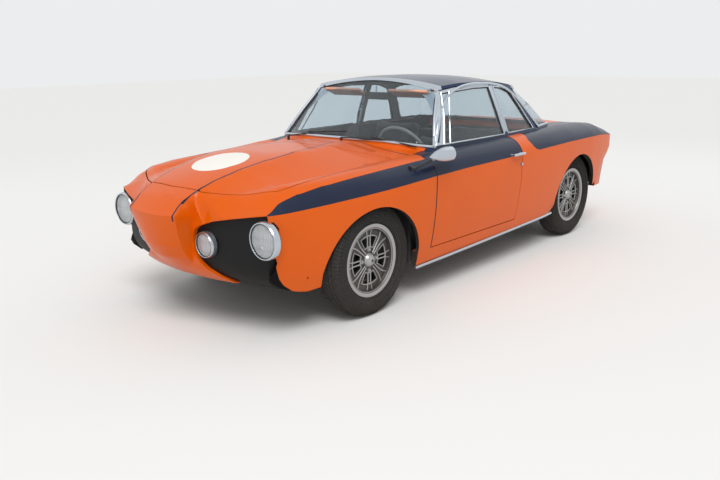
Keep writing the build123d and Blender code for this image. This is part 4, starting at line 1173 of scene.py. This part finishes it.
class COUPE_OT_tail(bpy.types.Operator):
    """Fit the push button of the boot lid's lock"""

    bl_idname = "coupe.tail"
    bl_label = "Fit tail"

    def execute(self, context):
        button = turned("boot_lock", ((-0.004, 0.017), (0.004, 0.017), (0.006, 0.015), (0.006, 0.011),
                                      (0.011, 0.010), (0.012, 0.0003)), (0, 1.9575, 0.7505), (0, 0.43, 0.9),
                                      32)
        chromed(button, "boot_lid")
        return {"FINISHED"}


class COUPE_OT_running_gear(bpy.types.Operator):
    """Finish the axles, the engine, the exhaust and the boot floors"""

    bl_idname = "coupe.running_gear"
    bl_label = "Finish running gear"

    def execute(self, context):
        cast = finish_of("Cast alloy", tint(112, 112, 113), 0.55, 0.2, 160, 0.4, 0.6, 0.6, Metallic=0.8)
        steel = finish_of("Exhaust steel", tint(86, 80, 74), 0.55, 0.25, 120, 0.3, 0.5, 0.5, Metallic=0.8)
        boot = finish_of("Boot lining", tint(52, 50, 48), 0.9, 0.1, 600, 0.5)
        for finish, nodes in ((UNDERSEAL, ("front_beam", "knuckle_left", "knuckle_right")),
                              (cast, ("rear_axle", "engine")), (steel, ("exhaust",)),
                              (boot, ("front_boot", "rear_deck"))):
            for node in nodes:
                wear(NODES[node], finish)
        return {"FINISHED"}


CAMERA_PLACE = (3.3138, -4.1365, 1.4642)
CAMERA_YAW = 41.890
CAMERA_PITCH = 14.484
CAMERA_ROLL = -0.8946
CAMERA_FOCAL_PX = 742.95
PICTURE_WIDTH_PX = 720
SENSOR_MM = 36
FLOOR_SIZE = 60
SUN_AIM = (-0.55, 0.5, -1.0)
STUDIO_LAMPS = (("Key", (3.2, -3.6, 4.6), 1.0, 4.0), ("Fill", (-4.5, -3.0, 3.6), 0.35, 5.0),
                ("Back", (0.5, 5.2, 4.4), 0.5, 4.5))


class COUPE_OT_studio(bpy.types.Operator):
    """Lay the floor, hang the lamps and set up the camera"""

    bl_idname = "coupe.studio"
    bl_label = "Set up studio"

    def execute(self, context):
        scene = context.scene
        stage = scene.coupe_stage
        deselect_all()
        bpy.ops.mesh.primitive_plane_add(size=FLOOR_SIZE, location=(0, 0, 0))
        floor = started("floor")
        wear(floor, finish_of("Pale floor", tint(240, 240, 238), 0.85, 0.05, 20, Specular_IOR_Level=0.1))
        world = bpy.data.worlds.new("Studio sky")
        scene.world = world
        world.use_nodes = True
        tree = world.node_tree
        tree.nodes.clear()
        path = add_node(tree, "ShaderNodeLightPath").outputs
        camera_sky = add_node(tree, "ShaderNodeBackground", {"Color": tint(236, 237, 238), "Strength": 1.0})
        plain_sky = add_node(tree, "ShaderNodeBackground", {"Color": (1, 1, 1, 1), "Strength": stage.world})
        seen = calc(tree, "MAXIMUM", path["Is Camera Ray"], path["Is Glossy Ray"])
        seen = calc(tree, "MAXIMUM", seen, path["Is Transmission Ray"])
        sky = add_node(tree, "ShaderNodeMixShader", {0: seen, 1: plain_sky.outputs[0],
                                                     2: camera_sky.outputs[0]})
        add_node(tree, "ShaderNodeOutputWorld", {"Surface": sky.outputs[0]})
        bpy.ops.object.light_add(type="SUN", location=(3.0, -3.0, 6.0))
        sun = bpy.context.object
        sun.data.energy = stage.sun
        sun.data.angle = radians(30)
        sun.rotation_euler = Vector(SUN_AIM).to_track_quat("-Z", "Y").to_euler()
        for name, place, share, size in STUDIO_LAMPS:
            deselect_all()
            bpy.ops.object.light_add(type="AREA", location=place)
            lamp = bpy.context.object
            lamp.name = name
            lamp.data.energy = stage.key * share
            lamp.data.size = size
            lamp.rotation_euler = (Vector((0, 0, 0.5)) - Vector(place)).to_track_quat("-Z", "Y").to_euler()
        yaw, pitch, roll = radians(CAMERA_YAW), radians(CAMERA_PITCH), radians(CAMERA_ROLL)
        back = Vector((sin(yaw) * cos(pitch), -cos(yaw) * cos(pitch), sin(pitch)))
        right = Vector((0, 0, 1)).cross(back).normalized()
        up = back.cross(right)
        across = cos(roll) * right + sin(roll) * up
        upward = -sin(roll) * right + cos(roll) * up
        deselect_all()
        bpy.ops.object.camera_add(location=CAMERA_PLACE)
        camera = bpy.context.object
        camera.matrix_world = Matrix((
            (across.x, upward.x, back.x, CAMERA_PLACE[0]), (across.y, upward.y, back.y, CAMERA_PLACE[1]),
            (across.z, upward.z, back.z, CAMERA_PLACE[2]), (0, 0, 0, 1)))
        camera.data.sensor_width = SENSOR_MM
        camera.data.lens = CAMERA_FOCAL_PX / PICTURE_WIDTH_PX * SENSOR_MM
        scene.camera = camera
        scene.view_settings.view_transform = "Standard"
        return {"FINISHED"}


OPERATORS = (COUPE_OT_paint, COUPE_OT_glass, COUPE_OT_trim, COUPE_OT_lamps, COUPE_OT_wheels, COUPE_OT_seats,
             COUPE_OT_cabin, COUPE_OT_tail, COUPE_OT_running_gear, COUPE_OT_studio)
GROUPS = (("coupe_paint", CoupePaint), ("coupe_trim", CoupeTrim), ("coupe_wheels", CoupeWheels),
          ("coupe_seats", CoupeSeats), ("coupe_stage", CoupeStage))


class COUPE_PT_panel(bpy.types.Panel):
    """Sizes, colours and steps of the coupe's dress"""

    bl_idname = "COUPE_PT_panel"
    bl_label = "Coupe"
    bl_space_type = "VIEW_3D"
    bl_region_type = "UI"
    bl_category = "Coupe"

    def draw(self, context):
        for name, group in GROUPS:
            box = self.layout.box()
            for field in group.__annotations__:
                box.prop(getattr(context.scene, name), field)
        for operator in OPERATORS:
            self.layout.operator(operator.bl_idname)


def register():
    for name, group in GROUPS:
        bpy.utils.register_class(group)
        setattr(bpy.types.Scene, name, bpy.props.PointerProperty(type=group))
    for operator in OPERATORS:
        bpy.utils.register_class(operator)
    bpy.utils.register_class(COUPE_PT_panel)


def unregister():
    bpy.utils.unregister_class(COUPE_PT_panel)
    for operator in reversed(OPERATORS):
        bpy.utils.unregister_class(operator)
    for name, group in reversed(GROUPS):
        delattr(bpy.types.Scene, name)
        bpy.utils.unregister_class(group)


def main():
    """Dress the whole car, in order."""
    register()
    for operator in OPERATORS:
        group, step = operator.bl_idname.split(".")
        getattr(getattr(bpy.ops, group), step)()


if __name__ == "__main__":
    main()
